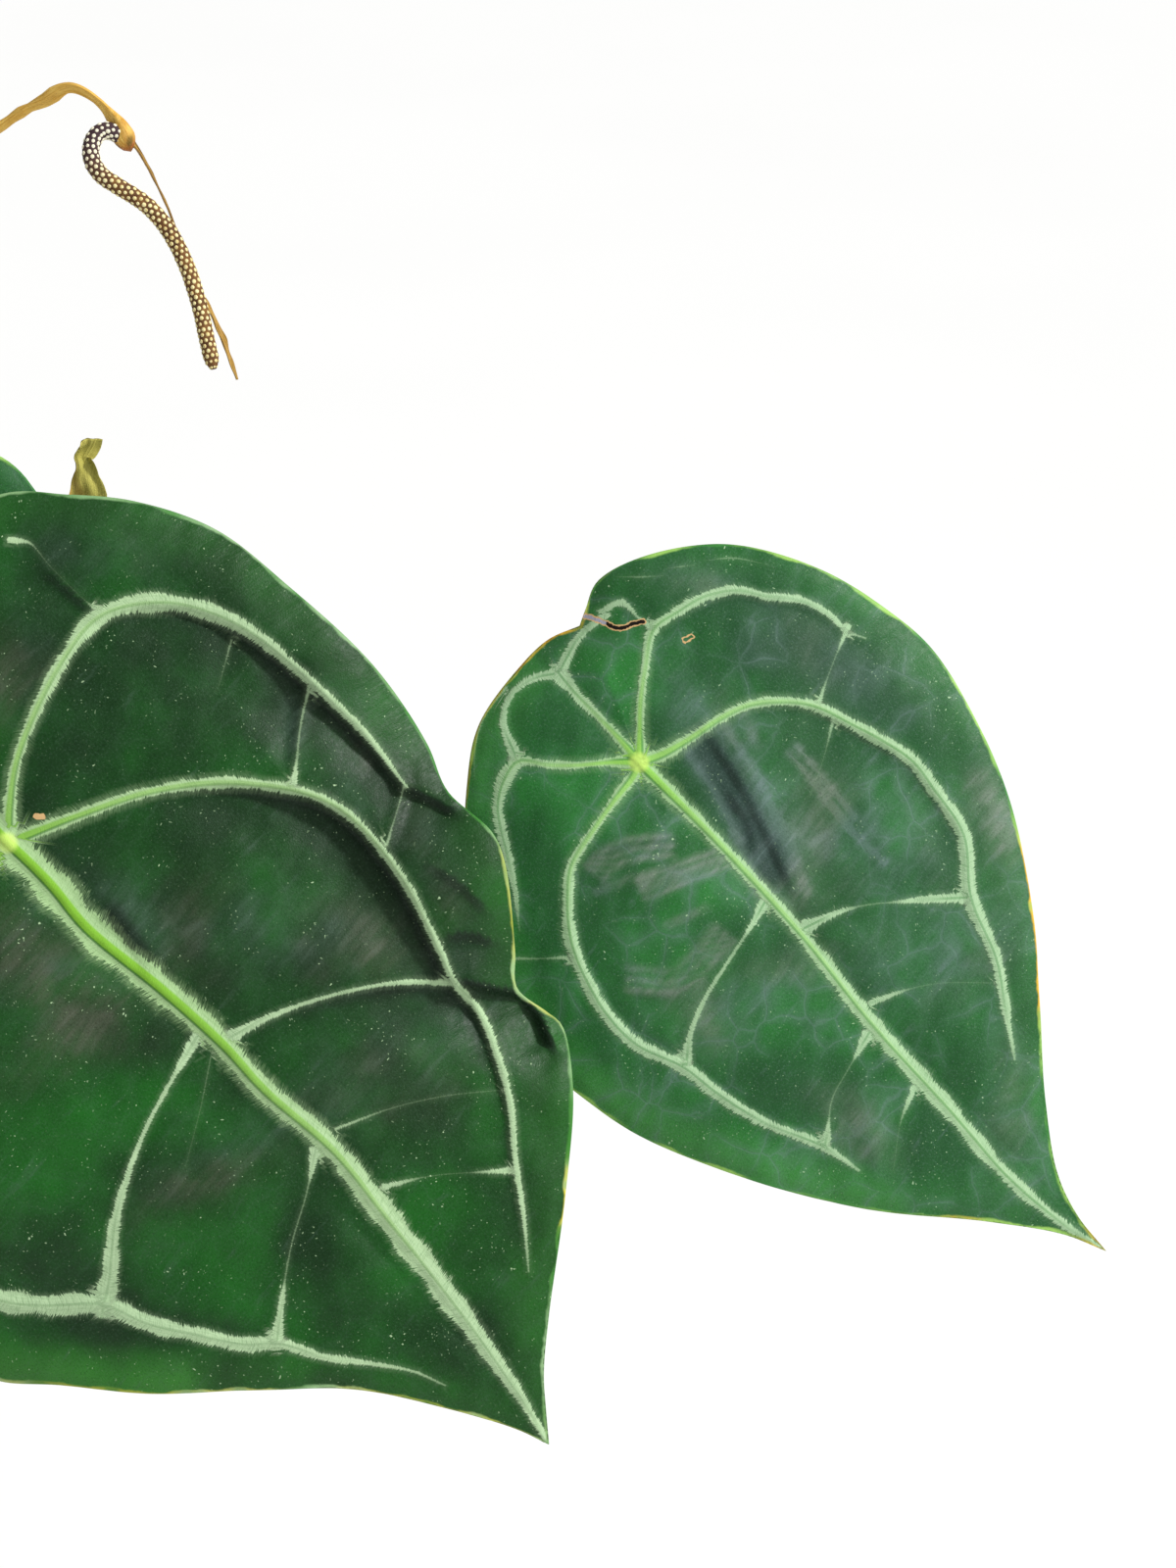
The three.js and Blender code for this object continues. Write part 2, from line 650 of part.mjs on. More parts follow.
// The pot's wall is turned round its axis, with a proud band at the rim, and its floor has drain
// holes.
function potSolid() {
  const bandFoot = potHeight - rimBand;
  const outline = [
    [0, 0], [potFootRadius - 1.5, 0], [potFootRadius, 1.5], [potRadiusAt(bandFoot), bandFoot],
    [potRimRadius - 1.8, bandFoot + 0.6], [potRimRadius - 1, bandFoot + 3], [potRimRadius, potHeight - 3],
    [potRimRadius - 1.5, potHeight - 0.6], [potRimRadius - 3, potHeight], [potRimRadius - 6, potHeight],
    [potRimRadius - potWall - 1.6, potHeight - 2], [potRadiusAt(bandFoot) - potWall, bandFoot - 6],
    [potRadiusAt(potWall) - potWall - 3, potWall + 1.5], [potRadiusAt(potWall) - potWall - 6, potWall],
    [0, potWall],
  ];
  const profile = outline.map(([radius, height]) => new THREE.Vector2(radius, height));
  let pot = solidOf(new THREE.LatheGeometry(profile, 32).rotateX(PI / 2));
  for (let hole = 0; hole < drainCount; hole++) {
    const angle = (2 * PI * (hole + 0.5)) / drainCount;
    const drain = new THREE.CylinderGeometry(drainRadius, drainRadius, 4 * potWall, 10).rotateX(PI / 2);
    drain.translate(drainCircle * cos(angle), drainCircle * sin(angle), 0);
    pot = pot.subtract(solidOf(drain));
  }
  return pot;
}

// The soil fills the pot to just under its rim. Its top is lumpy, and it rises a little round the
// stem.
function soilSolid() {
  const bandFoot = potHeight - rimBand;
  const wallFoot = potRadiusAt(potWall) - potWall - 6 - seam;
  const wallTop = potRadiusAt(bandFoot) - potWall - seam;
  const mouth = potRimRadius - potWall - 1.6 - seam;
  const edge = mix(wallTop, mouth, (soilLevel - bandFoot + 6) / (rimBand + 4));
  const profile = [new THREE.Vector2(0, potWall + seam), new THREE.Vector2(wallFoot - 1, potWall + seam)];
  profile.push(new THREE.Vector2(wallTop - 0.2, bandFoot - 6), new THREE.Vector2(edge - 0.2, soilLevel - 1));
  for (let ring = soilRings; ring > 0; ring--) {
    profile.push(new THREE.Vector2(((edge - 2.5) * ring) / soilRings, soilLevel));
  }
  profile.push(new THREE.Vector2(0, soilLevel));
  const geometry = new THREE.LatheGeometry(profile, soilSectors).rotateX(PI / 2);
  const position = geometry.getAttribute("position");
  for (let i = 0; i < position.count; i++) {
    const x = position.getX(i);
    const y = position.getY(i);
    const z = position.getZ(i);
    if (z < soilLevel - 0.5) continue;
    const lump = sin(x * 0.43 + 1.3 * sin(y * 0.31)) * cos(y * 0.37 + 1.1 * sin(x * 0.23));
    const mound = 4 * exp(-(x * x + y * y) / 900);
    position.setZ(i, z + soilLump * lump + mound - 1);
  }
  return solidOf(geometry);
}

// Assembly

const plant = new THREE.Group();

function place(name, geometry, finish, frame) {
  const material = new THREE.MeshStandardMaterial({ metalness: 0, ...finish });
  const mesh = new THREE.Mesh(geometry, material);
  mesh.name = name;
  if (frame) mesh.applyMatrix4(frame);
  plant.add(mesh);
}

const sockets = [
  ...leaves.map((leaf) => petioleSolid(leaf, seam)),
  ...flowers.map((flower) => peduncleSolid(flower, seam)),
  newShootSolid(seam),
];
const stem = sockets.reduce((whole, socket) => whole.subtract(socket), stemSolid());
const stemHoles = [stemCore(seam), ...roots.map((root) => rootSolid(root, seam))];
const soil = stemHoles.reduce((whole, hole) => whole.subtract(hole), soilSolid());

place("pot", geometryOf(potSolid()), finishes.clay);
place("soil", geometryOf(soil), finishes.soil);
place("stem", geometryOf(stem), finishes.stem);
place("new_shoot", geometryOf(newShootSolid()), finishes.petiole);

for (const leaf of leaves) {
  const frame = leafFrame(leaf);
  const blade = geometryOf(bladeSolid(leaf));
  const clearance = solidOf(geometryOf(bladeSolid(leaf, seam)).applyMatrix4(frame));
  const petiole = mainBody(petioleSolid(leaf).subtract(clearance));
  place(leaf.name + "_petiole", geometryOf(petiole), finishes.petiole);
  place(leaf.name + "_blade", blade, leaf.finish, frame);
}

for (const flower of flowers) {
  const clearance = peduncleSolid(flower, seam);
  const spadix = mainBody(spadixSolid(flower).subtract(clearance));
  const spathe = mainBody(spatheSolid(flower).subtract(clearance));
  place(flower.name + "_peduncle", geometryOf(peduncleSolid(flower)), finishes.driedStalk);
  place(flower.name + "_spadix", geometryOf(spadix), finishes.driedSpadix);
  place(flower.name + "_spathe", geometryOf(spathe), finishes.driedSpathe);
}

export default plant;
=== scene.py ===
"""Potted velvet anthurium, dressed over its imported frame.

Shield-shaped leaves with a pale vein net and two withered flower stalks stand on a short stem in a
clay pot. Sizes are millimetres, +Z up, with the origin at the centre of the pot's foot and the
plant's front towards -Y. Meshes are written in metres.
"""

import logging
import math
from dataclasses import dataclass, replace
from enum import Enum
from typing import Callable

import bmesh
import bpy
import numpy as np
from mathutils import Matrix, Vector


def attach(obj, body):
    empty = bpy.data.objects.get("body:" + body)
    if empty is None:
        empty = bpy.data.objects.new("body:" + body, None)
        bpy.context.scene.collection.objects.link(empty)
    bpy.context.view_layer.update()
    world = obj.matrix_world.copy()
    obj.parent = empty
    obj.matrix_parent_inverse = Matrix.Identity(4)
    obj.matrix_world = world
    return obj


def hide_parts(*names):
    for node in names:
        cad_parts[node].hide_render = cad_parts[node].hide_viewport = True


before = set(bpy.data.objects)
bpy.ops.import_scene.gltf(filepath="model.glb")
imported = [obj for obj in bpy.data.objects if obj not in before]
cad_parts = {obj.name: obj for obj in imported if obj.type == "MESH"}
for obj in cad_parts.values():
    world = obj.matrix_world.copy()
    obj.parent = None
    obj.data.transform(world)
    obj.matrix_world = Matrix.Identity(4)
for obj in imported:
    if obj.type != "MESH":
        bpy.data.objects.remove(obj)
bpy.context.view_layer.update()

log = logging.getLogger("anthurium")

Point2 = tuple[float, float]
Point3 = tuple[float, float, float]
Colour = tuple[float, float, float, float]
Socket = bpy.types.NodeSocket
Array = np.ndarray
Mesh = bmesh.types.BMesh
Material = bpy.types.Material
Piece = bpy.types.Object

MM = 0.001
FULL_TURN = 2 * math.pi


class Slot(Enum):
    """Material slots of the record."""

    CLAY = "clay"
    SOIL = "soil"
    STEM = "stem"
    PETIOLE = "petiole"
    DARK_BLADE = "dark_blade"
    GREEN_BLADE = "green_blade"
    YOUNG_BLADE = "young_blade"
    DRIED_STALK = "dried_stalk"
    DRIED_SPATHE = "dried_spathe"
    DRIED_SPADIX = "dried_spadix"


# Numbers, curves and meshes


def srgb(red: float, green: float, blue: float) -> Colour:
    """A display colour, 0 to 255, as the linear colour that shaders take.

    Args:
        red, green, blue: The display colour's channels.

    Returns:
        The linear colour, opaque.
    """

    def linear(value: float) -> float:
        """The linear share of light for one channel."""
        share = value / 255
        return share / 12.92 if share <= 0.04045 else ((share + 0.055) / 1.055) ** 2.4

    return (linear(red), linear(green), linear(blue), 1.0)


def ramp(low: float, high: float, value: Array) -> Array:
    """0 below low and 1 above high, with an even S between."""
    share = np.clip((np.asarray(value, float) - low) / (high - low), 0, 1)
    return share * share * (3 - 2 * share)


def bell(distance: Array, reach: float) -> Array:
    """1 at no distance, falling away over the reach."""
    return np.exp(-((distance / reach) ** 2))


def spread(values: tuple[float, ...], share: Array) -> Array:
    """Reads evenly spaced values at shares of their length, from 0 to 1."""
    return np.interp(share, np.linspace(0, 1, len(values)), values)


def ripple(places: Array, wavelength: float, seed: int) -> Array:
    """Gentle uneven swells over places in a plane or in space.

    Args:
        places: Points, one a row, in millimetres.
        wavelength: Rough distance from crest to crest.
        seed: Chooses the swells.

    Returns:
        One height for each point, mostly between -1 and 1.
    """
    draw = np.random.default_rng(seed)
    total = np.zeros(len(places))
    for _ in range(7):
        way = draw.normal(size=places.shape[1])
        way *= FULL_TURN / wavelength * draw.uniform(0.6, 1.7) / np.linalg.norm(way)
        total += np.sin(places @ way + draw.uniform(0, FULL_TURN))
    return total / 3.2


class Route:
    """A smooth curve through points, read by its share of length."""

    steps_between_points = 24

    def __init__(self, points: tuple) -> None:
        """Lays the curve through its points, in a plane or in space.

        Args:
            points: The points that it passes, each of two or three numbers.
        """
        knots = np.asarray(points, float)
        knots = np.vstack([2 * knots[0] - knots[1], knots, 2 * knots[-1] - knots[-2]])
        share = np.linspace(0, 1, self.steps_between_points, endpoint=False)[:, None]
        cubes = (2 * share**3 - 3 * share**2 + 1, share**3 - 2 * share**2 + share, share**3 - share**2)
        laid = []
        for before, start, end, after in zip(knots, knots[1:], knots[2:], knots[3:]):
            gap0, gap1, gap2 = (
                math.sqrt(np.linalg.norm(b - a)) for a, b in ((before, start), (start, end), (end, after))
            )
            leave = (start - before) / gap0 - (end - before) / (gap0 + gap1) + (end - start) / gap1
            arrive = (end - start) / gap1 - (after - start) / (gap1 + gap2) + (after - end) / gap2
            chord = cubes[0] * start + (1 - cubes[0]) * end
            laid.append(chord + cubes[1] * leave * gap1 + cubes[2] * arrive * gap1)
        self.samples = np.vstack([*laid, knots[-2:-1]])
        steps = np.linalg.norm(np.diff(self.samples, axis=0), axis=1)
        self.reached = np.concatenate([[0], np.cumsum(steps)])
        self.length = float(self.reached[-1])

    def at(self, share: Array) -> Array:
        """Points at shares of the length, one a row."""
        place = np.asarray(share, float) * self.length
        axes = [np.interp(place, self.reached, axis) for axis in self.samples.T]
        return np.stack(axes, axis=-1)

    def way(self, share: Array) -> Array:
        """Unit directions at shares of the length, one a row."""
        share = np.asarray(share, float)
        reach = 0.4 / self.length
        step = self.at(np.minimum(share + reach, 1)) - self.at(np.maximum(share - reach, 0))
        return step / np.linalg.norm(step, axis=-1, keepdims=True)


def measure_to_line(places: Array, line: Array) -> tuple[Array, Array, Array]:
    """Measures points in a plane against a line of short straight steps.

    Args:
        places: Points, one a row.
        line: The line's points, one a row.

    Returns:
        The distance, the signed offset (positive to the left of the line's way) and the length
        along the line, each with one value for a point.
    """
    steps = np.diff(line, axis=0)
    lengths = np.maximum(np.linalg.norm(steps, axis=1), 1e-9)
    reached = np.concatenate([[0], np.cumsum(lengths)])
    squares = (line**2).sum(1)
    results = []
    for part in np.array_split(places, max(1, len(places) // 8000)):
        knot = (squares - 2 * part @ line.T).argmin(1)
        best = np.full((3, len(part)), np.inf)
        for step in (np.maximum(knot - 1, 0), np.minimum(knot, len(steps) - 1)):
            way = steps[step] / lengths[step][:, None]
            offset = part - line[step]
            run = np.clip((offset * way).sum(1), 0, lengths[step])
            short = offset - run[:, None] * way
            distance = np.linalg.norm(short, axis=1)
            side = way[:, 0] * offset[:, 1] - way[:, 1] * offset[:, 0]
            found = np.stack([distance, side, reached[step] + run])
            best = np.where(distance < best[0], found, best)
        results.append(best)
    distance, offset, along = np.concatenate(results, axis=1)
    return distance, offset, along


def sheet(columns: int, rows: int) -> tuple[Mesh, Array, Array]:
    """A flat grid to be bent into shape.

    Args:
        columns: Faces across.
        rows: Faces along.

    Returns:
        The grid, and for each vertex its share across and its share along, from 0 to 1.
    """
    grid = bmesh.new()
    bmesh.ops.create_grid(grid, x_segments=columns, y_segments=rows, size=1)
    flat = np.array([vertex.co[:2] for vertex in grid.verts])
    across, along = ((flat + 1) / 2).T
    return grid, across, along


def move_to(grid: Mesh, places: Array) -> None:
    """Moves each vertex to its place, one a row."""
    for vertex, place in zip(grid.verts, places.tolist()):
        vertex.co = place


def keep(grid: Mesh, name: str, *columns: Array) -> None:
    """Stores up to three numbers on each vertex for the shaders to read, with 0 for those left out."""
    values = np.zeros((len(grid.verts), 3))
    values[:, : len(columns)] = np.column_stack(columns)
    layer = grid.verts.layers.float_vector.get(name) or grid.verts.layers.float_vector.new(name)
    for vertex, value in zip(grid.verts, values.tolist()):
        vertex[layer] = value


def kept(grid: Mesh, name: str) -> Array:
    """The three numbers stored on each vertex, one row for each number."""
    layer = grid.verts.layers.float_vector[name]
    return np.array([vertex[layer] for vertex in grid.verts]).T


def close_up(grid: Mesh, gap: float = 1e-4) -> None:
    """Welds seams and poles, fills open ends and turns the faces outwards.

    Args:
        grid: The mesh.
        gap: Vertices nearer than this become one.
    """
    bmesh.ops.remove_doubles(grid, verts=grid.verts[:], dist=gap)
    bmesh.ops.dissolve_degenerate(grid, dist=gap, edges=grid.edges[:])
    open_edges = [edge for edge in grid.edges if edge.is_boundary]
    if open_edges:
        bmesh.ops.holes_fill(grid, edges=open_edges)
    bmesh.ops.recalc_face_normals(grid, faces=grid.faces[:])


def put_in_scene(name: str, data: bpy.types.ID) -> Piece:
    """A new object at the origin that shows the data."""
    placed = bpy.data.objects.new(name, data)
    bpy.context.scene.collection.objects.link(placed)
    return placed


def to_object(name: str, grid: Mesh) -> Piece:
    """Turns a mesh into an object of the scene, and frees it."""
    mesh = bpy.data.meshes.new(name)
    grid.to_mesh(mesh)
    grid.free()
    return put_in_scene(name, mesh)


def settle(name: str, grid: Mesh, material: Material, slot: Slot, *nodes: str) -> Piece:
    """Turns a finished mesh in millimetres into a piece of the scene.

    Args:
        name: The piece's name.
        grid: The mesh, which is freed.
        material: Its finish.
        slot: The record's slot that the finish belongs to; not used.
        nodes: The CAD nodes that it stands for.

    Returns:
        The new object, at the origin, riding on the body.
    """
    bmesh.ops.scale(grid, vec=(MM, MM, MM), verts=grid.verts[:])
    for face in grid.faces:
        face.smooth = True
    piece = to_object(name, grid)
    piece.data.materials.append(material)
    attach(piece, "root")
    if nodes:
        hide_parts(*nodes)
    log.info("%s: %d faces", name, len(piece.data.polygons))
    return piece


class Lump:
    """A small rounded lump that is laid many times in a mesh."""

    def __init__(self, attribute: str, rounds: int = 8, rings: int = 5) -> None:
        """Makes the lump as a ball of radius 1, with the named attribute on its vertices.

        Args:
            attribute: Vertex attribute that tells a lump's kind.
            rounds: Faces round it.
            rings: Faces from pole to pole.
        """
        ball = bmesh.new()
        bmesh.ops.create_uvsphere(ball, u_segments=rounds, v_segments=rings, radius=1)
        keep(ball, attribute, np.ones(len(ball.verts)))
        self.attribute = attribute
        self.mesh = bpy.data.meshes.new("lump")
        ball.to_mesh(self.mesh)
        ball.free()
        flat = np.zeros(3 * len(self.mesh.vertices))
        self.mesh.vertices.foreach_get("co", flat)
        self.places = flat.reshape(-1, 3)

    def lay(
        self, grid: Mesh, carry: Matrix, kind: Point3, uneven: Array | float = 1.0
    ) -> None:
        """Adds one lump to a mesh.

        Args:
            grid: The mesh that it is added to.
            carry: Where it goes, how it is turned and its size.
            kind: The attribute's value on it.
            uneven: Factors of the distance of each vertex from the middle.
        """
        turn = np.array(carry)
        places = (self.places * uneven) @ turn[:3, :3].T + turn[:3, 3]
        self.mesh.vertices.foreach_set("co", places.ravel())
        values = np.tile(np.array(kind, float), len(places))
        self.mesh.attributes[self.attribute].data.foreach_set("vector", values)
        grid.from_mesh(self.mesh)

    def discard(self) -> None:
        """Removes the pattern once the lumps are laid."""
        bpy.data.meshes.remove(self.mesh)


@dataclass(frozen=True)
class Limb:
    """A stalk bent along a route.

    half_sizes takes the share along and the turn round it, and gives the half width, along side, and
    the half height.
    """

    route: Route
    half_sizes: Callable[[Array, Array], tuple[Array, Array]]
    side: Point3 = (0.3, 0.9, 0.2)
    sides: int = 28
    step: float = 1.5

    def frames(self, share: Array) -> tuple[Array, Array, Array]:
        """Place, sideways way and upward way at shares of the length."""
        way = self.route.way(share)
        side = np.asarray(self.side, float)
        across = side - (way @ side)[:, None] * way
        across /= np.linalg.norm(across, axis=1, keepdims=True)
        return self.route.at(share), across, np.cross(way, across)

    def build(self) -> Mesh:
        """The limb's closed skin, with its straightened place kept on each vertex as unbent."""
        rows = max(4, round(self.route.length / self.step))
        grid, around, share = sheet(self.sides, rows)
        turn = around * FULL_TURN
        place, across, upward = self.frames(share)
        width, height = self.half_sizes(share, turn)
        cos, sin = np.cos(turn), np.sin(turn)
        move_to(grid, place + (cos * width)[:, None] * across + (sin * height)[:, None] * upward)
        keep(grid, "unbent", cos * width, sin * height, share * self.route.length)
        close_up(grid)
        return grid


# Shader wiring


class Bench:
    """Wires the nodes of one material."""

    def __init__(self, name: str) -> None:
        """Starts a material with a bare surface shader.

        Args:
            name: The material's name.
        """
        self.material = bpy.data.materials.new(name)
        self.material.use_nodes = True
        self.tree = self.material.node_tree
        self.tree.nodes.clear()
        self.surface = self.node("ShaderNodeBsdfPrincipled")
        output = self.node("ShaderNodeOutputMaterial")
        self.tree.links.new(self.surface.outputs["BSDF"], output.inputs["Surface"])

    def node(self, kind: str, **settings: object) -> bpy.types.Node:
        """Adds a node with its settings."""
        made = self.tree.nodes.new(kind)
        for name, value in settings.items():
            setattr(made, name, value)
        return made

    def feed(self, socket: Socket, value: object) -> None:
        """Links a socket to another, or sets its value."""
        if isinstance(value, Socket):
            self.tree.links.new(value, socket)
        else:
            socket.default_value = value

    def maths(self, operation: str, *values: object) -> Socket:
        """One arithmetic step on numbers."""
        made = self.node("ShaderNodeMath", operation=operation)
        for socket, value in zip(made.inputs, values):
            self.feed(socket, value)
        return made.outputs[0]

    def times(self, first: object, second: object) -> Socket:
        """The product of two numbers."""
        return self.maths("MULTIPLY", first, second)

    def plus(self, first: object, second: object) -> Socket:
        """The sum of two numbers."""
        return self.maths("ADD", first, second)

    def less(self, first: object, second: object) -> Socket:
        """The first number less the second."""
        return self.maths("SUBTRACT", first, second)

    def vector(self, operation: str, *values: object) -> Socket:
        """One arithmetic step on vectors."""
        made = self.node("ShaderNodeVectorMath", operation=operation)
        for socket, value in zip(made.inputs, values):
            self.feed(socket, value)
        return made.outputs[0]

    def ease(self, value: Socket, low: float, high: float, start: float = 0, end: float = 1) -> Socket:
        """Maps low to high onto start to end, with a soft S and clamped."""
        made = self.node("ShaderNodeMapRange", interpolation_type="SMOOTHSTEP")
        for socket, number in zip(made.inputs, (value, low, high, start, end)):
            self.feed(socket, number)
        return made.outputs[0]

    def blend(self, share: object, first: object, second: object) -> Socket:
        """The first colour, covered by a share of the second."""
        made = self.node("ShaderNodeMix", data_type="RGBA")
        for index, value in ((0, share), (6, first), (7, second)):
            self.feed(made.inputs[index], value)
        return made.outputs[2]

    def attribute(self, name: str) -> Socket:
        """Three numbers kept on the mesh."""
        return self.node("ShaderNodeAttribute", attribute_name=name).outputs["Vector"]

    def place(self) -> Socket:
        """The point's place on the object, in millimetres."""
        coordinates = self.node("ShaderNodeTexCoord").outputs["Object"]
        return self.vector("MULTIPLY", coordinates, (1000, 1000, 1000))

    def split(self, value: Socket) -> tuple[Socket, Socket, Socket]:
        """The three numbers of a vector."""
        made = self.node("ShaderNodeSeparateXYZ")
        self.feed(made.inputs[0], value)
        return tuple(made.outputs)

    def join(self, x: object, y: object, z: object = 0.0) -> Socket:
        """A vector of three numbers."""
        made = self.node("ShaderNodeCombineXYZ")
        for socket, value in zip(made.inputs, (x, y, z)):
            self.feed(socket, value)
        return made.outputs[0]

    def stretch(self, value: Socket, x: float, y: float, turn: float) -> Socket:
        """Turns a pattern's place about Z, by degrees, and scales it."""
        made = self.node("ShaderNodeMapping", vector_type="TEXTURE")
        made.inputs["Rotation"].default_value = (0, 0, math.radians(turn))
        made.inputs["Scale"].default_value = (1 / x, 1 / y, 1)
        self.feed(made.inputs["Vector"], value)
        return made.outputs[0]

    def noise(self, place: Socket, scale: float, detail: float = 2, rough: float = 0.5) -> Socket:
        """Cloudy noise, about 0.5 on average, with scale swells to a millimetre.

        Args:
            place: Where it is read.
            scale: Swells to a millimetre.
            detail: How many finer layers are added.
            rough: How strong they are.

        Returns:
            A value about 0.5 on average.
        """
        made = self.node("ShaderNodeTexNoise")
        self.feed(made.inputs["Vector"], place)
        made.inputs["Scale"].default_value = scale
        made.inputs["Detail"].default_value = detail
        made.inputs["Roughness"].default_value = rough
        return made.outputs[0]

    def drift(self, place: Socket, scale: float, reach: float) -> Socket:
        """The place, wandering by up to about the reach in millimetres."""
        made = self.node("ShaderNodeTexNoise")
        self.feed(made.inputs["Vector"], place)
        made.inputs["Scale"].default_value = scale
        sway = self.vector("SUBTRACT", made.outputs["Color"], (0.5, 0.5, 0.5))
        return self.vector("ADD", place, self.vector("MULTIPLY", sway, (2 * reach,) * 3))

    def cells(self, place: Socket, scale: float, feature: str = "F1") -> bpy.types.Node:
        """Scattered cells, scale to a millimetre."""
        made = self.node("ShaderNodeTexVoronoi", feature=feature)
        self.feed(made.inputs["Vector"], place)
        made.inputs["Scale"].default_value = scale
        return made

    def relief(self, *layers: tuple[Socket, float]) -> Socket:
        """A normal bumped by layers.

        Args:
            layers: For each, a height of 0 to 1 and the depth in millimetres that it stands for.

        Returns:
            The normal.
        """
        normal = None
        for height, depth in layers:
            made = self.node("ShaderNodeBump")
            made.inputs["Distance"].default_value = depth * MM
            self.feed(made.inputs["Height"], height)
            if normal:
                self.feed(made.inputs["Normal"], normal)
            normal = made.outputs[0]
        return normal

    def finish(
        self, colour: object, rough: object, normal: Socket | None = None, **levels: float
    ) -> Material:
        """Feeds the surface shader.

        Args:
            colour: Base colour.
            rough: Roughness.
            normal: Bumped normal.
            levels: Other inputs by name, with spaces as underscores.

        Returns:
            The material.
        """
        self.feed(self.surface.inputs["Base Color"], colour)
        self.feed(self.surface.inputs["Roughness"], rough)
        if normal:
            self.feed(self.surface.inputs["Normal"], normal)
        for name, value in levels.items():
            self.surface.inputs[name.replace("_", " ")].default_value = value
        return self.material


# Finishes


class LeafMarks:
    """What a blade's material reads from its mesh, and the noises and vein bands worked out of it."""

    def __init__(self, bench: Bench) -> None:
        """Wires the marks on the bench.

        Args:
            bench: Bench that the nodes are wired on.
        """
        leaf = bench.attribute("leaf")
        self.x, self.y, self.side = bench.split(leaf)
        self.flat = bench.vector("MULTIPLY", leaf, (1, 1, 0))
        self.along, self.offset, self.width = bench.split(bench.attribute("vein"))
        distance, self.lime, self.margin = bench.split(bench.attribute("near"))
        # cast holds the painted sheen, the painted light (painted shade where negative) and the scorch.
        self.sheen_slate, self.glow, self.burn = bench.split(bench.attribute("cast"))
        self.mottle = bench.noise(self.flat, 0.04, 3, 0.5)
        self.fine = bench.noise(self.flat, 0.7, 4, 0.65)

        self.across = bench.maths("ABSOLUTE", self.offset)
        apart = bench.maths("MAXIMUM", self.across, bench.less(distance, 0.9))
        slanted = bench.maths("MULTIPLY_ADD", self.across, 0.4, self.along)
        self.comb = self.vein_noise(bench, slanted, 2.8, 0.4, 3, 0.62)
        fray = self.vein_noise(bench, self.along, 0.42, 0.1)
        slow = self.vein_noise(bench, self.along, 0.13, 0.05)
        reach = bench.times(self.width, bench.ease(slow, 0.3, 0.7, 0.78, 1.12))
        tooth = bench.maths("MULTIPLY_ADD", self.width, 0.75, 0.4)
        tooth = bench.times(tooth, bench.ease(fray, 0.35, 0.65, 0.5, 1.4))
        feather = bench.times(bench.less(self.comb, 0.5), bench.times(tooth, 1.6))
        self.inside = bench.less(bench.plus(reach, feather), apart)
        solid = bench.ease(self.width, 0.06, 0.75, 0.2, 1)
        self.band = bench.times(bench.ease(self.inside, -0.14, 0.3), solid)
        halo = bench.ease(self.inside, bench.maths("MULTIPLY_ADD", self.lime, -1.0, -1.4), 0.1)
        halo = bench.times(halo, bench.ease(self.comb, 0.3, 0.6, 0.55, 1))
        self.halo = bench.times(halo, solid)

    def vein_noise(
        self,
        bench: Bench,
        along: Socket,
        lengthwise: float,
        sideways: float,
        detail: float = 2,
        rough: float = 0.5,
    ) -> Socket:
        """Noise that follows the nearest vein.

        Args:
            bench: Where it is wired.
            along: The length along the vein.
            lengthwise: Swells to a millimetre of that length.
            sideways: Swells to a millimetre away from the vein.
            detail: How many finer noises it holds.
            rough: How strong these are.

        Returns:
            The noise, about 0.5 on average.
        """
        place = bench.join(bench.times(along, lengthwise), bench.times(self.offset, sideways))
        return bench.noise(place, 1, detail, rough)


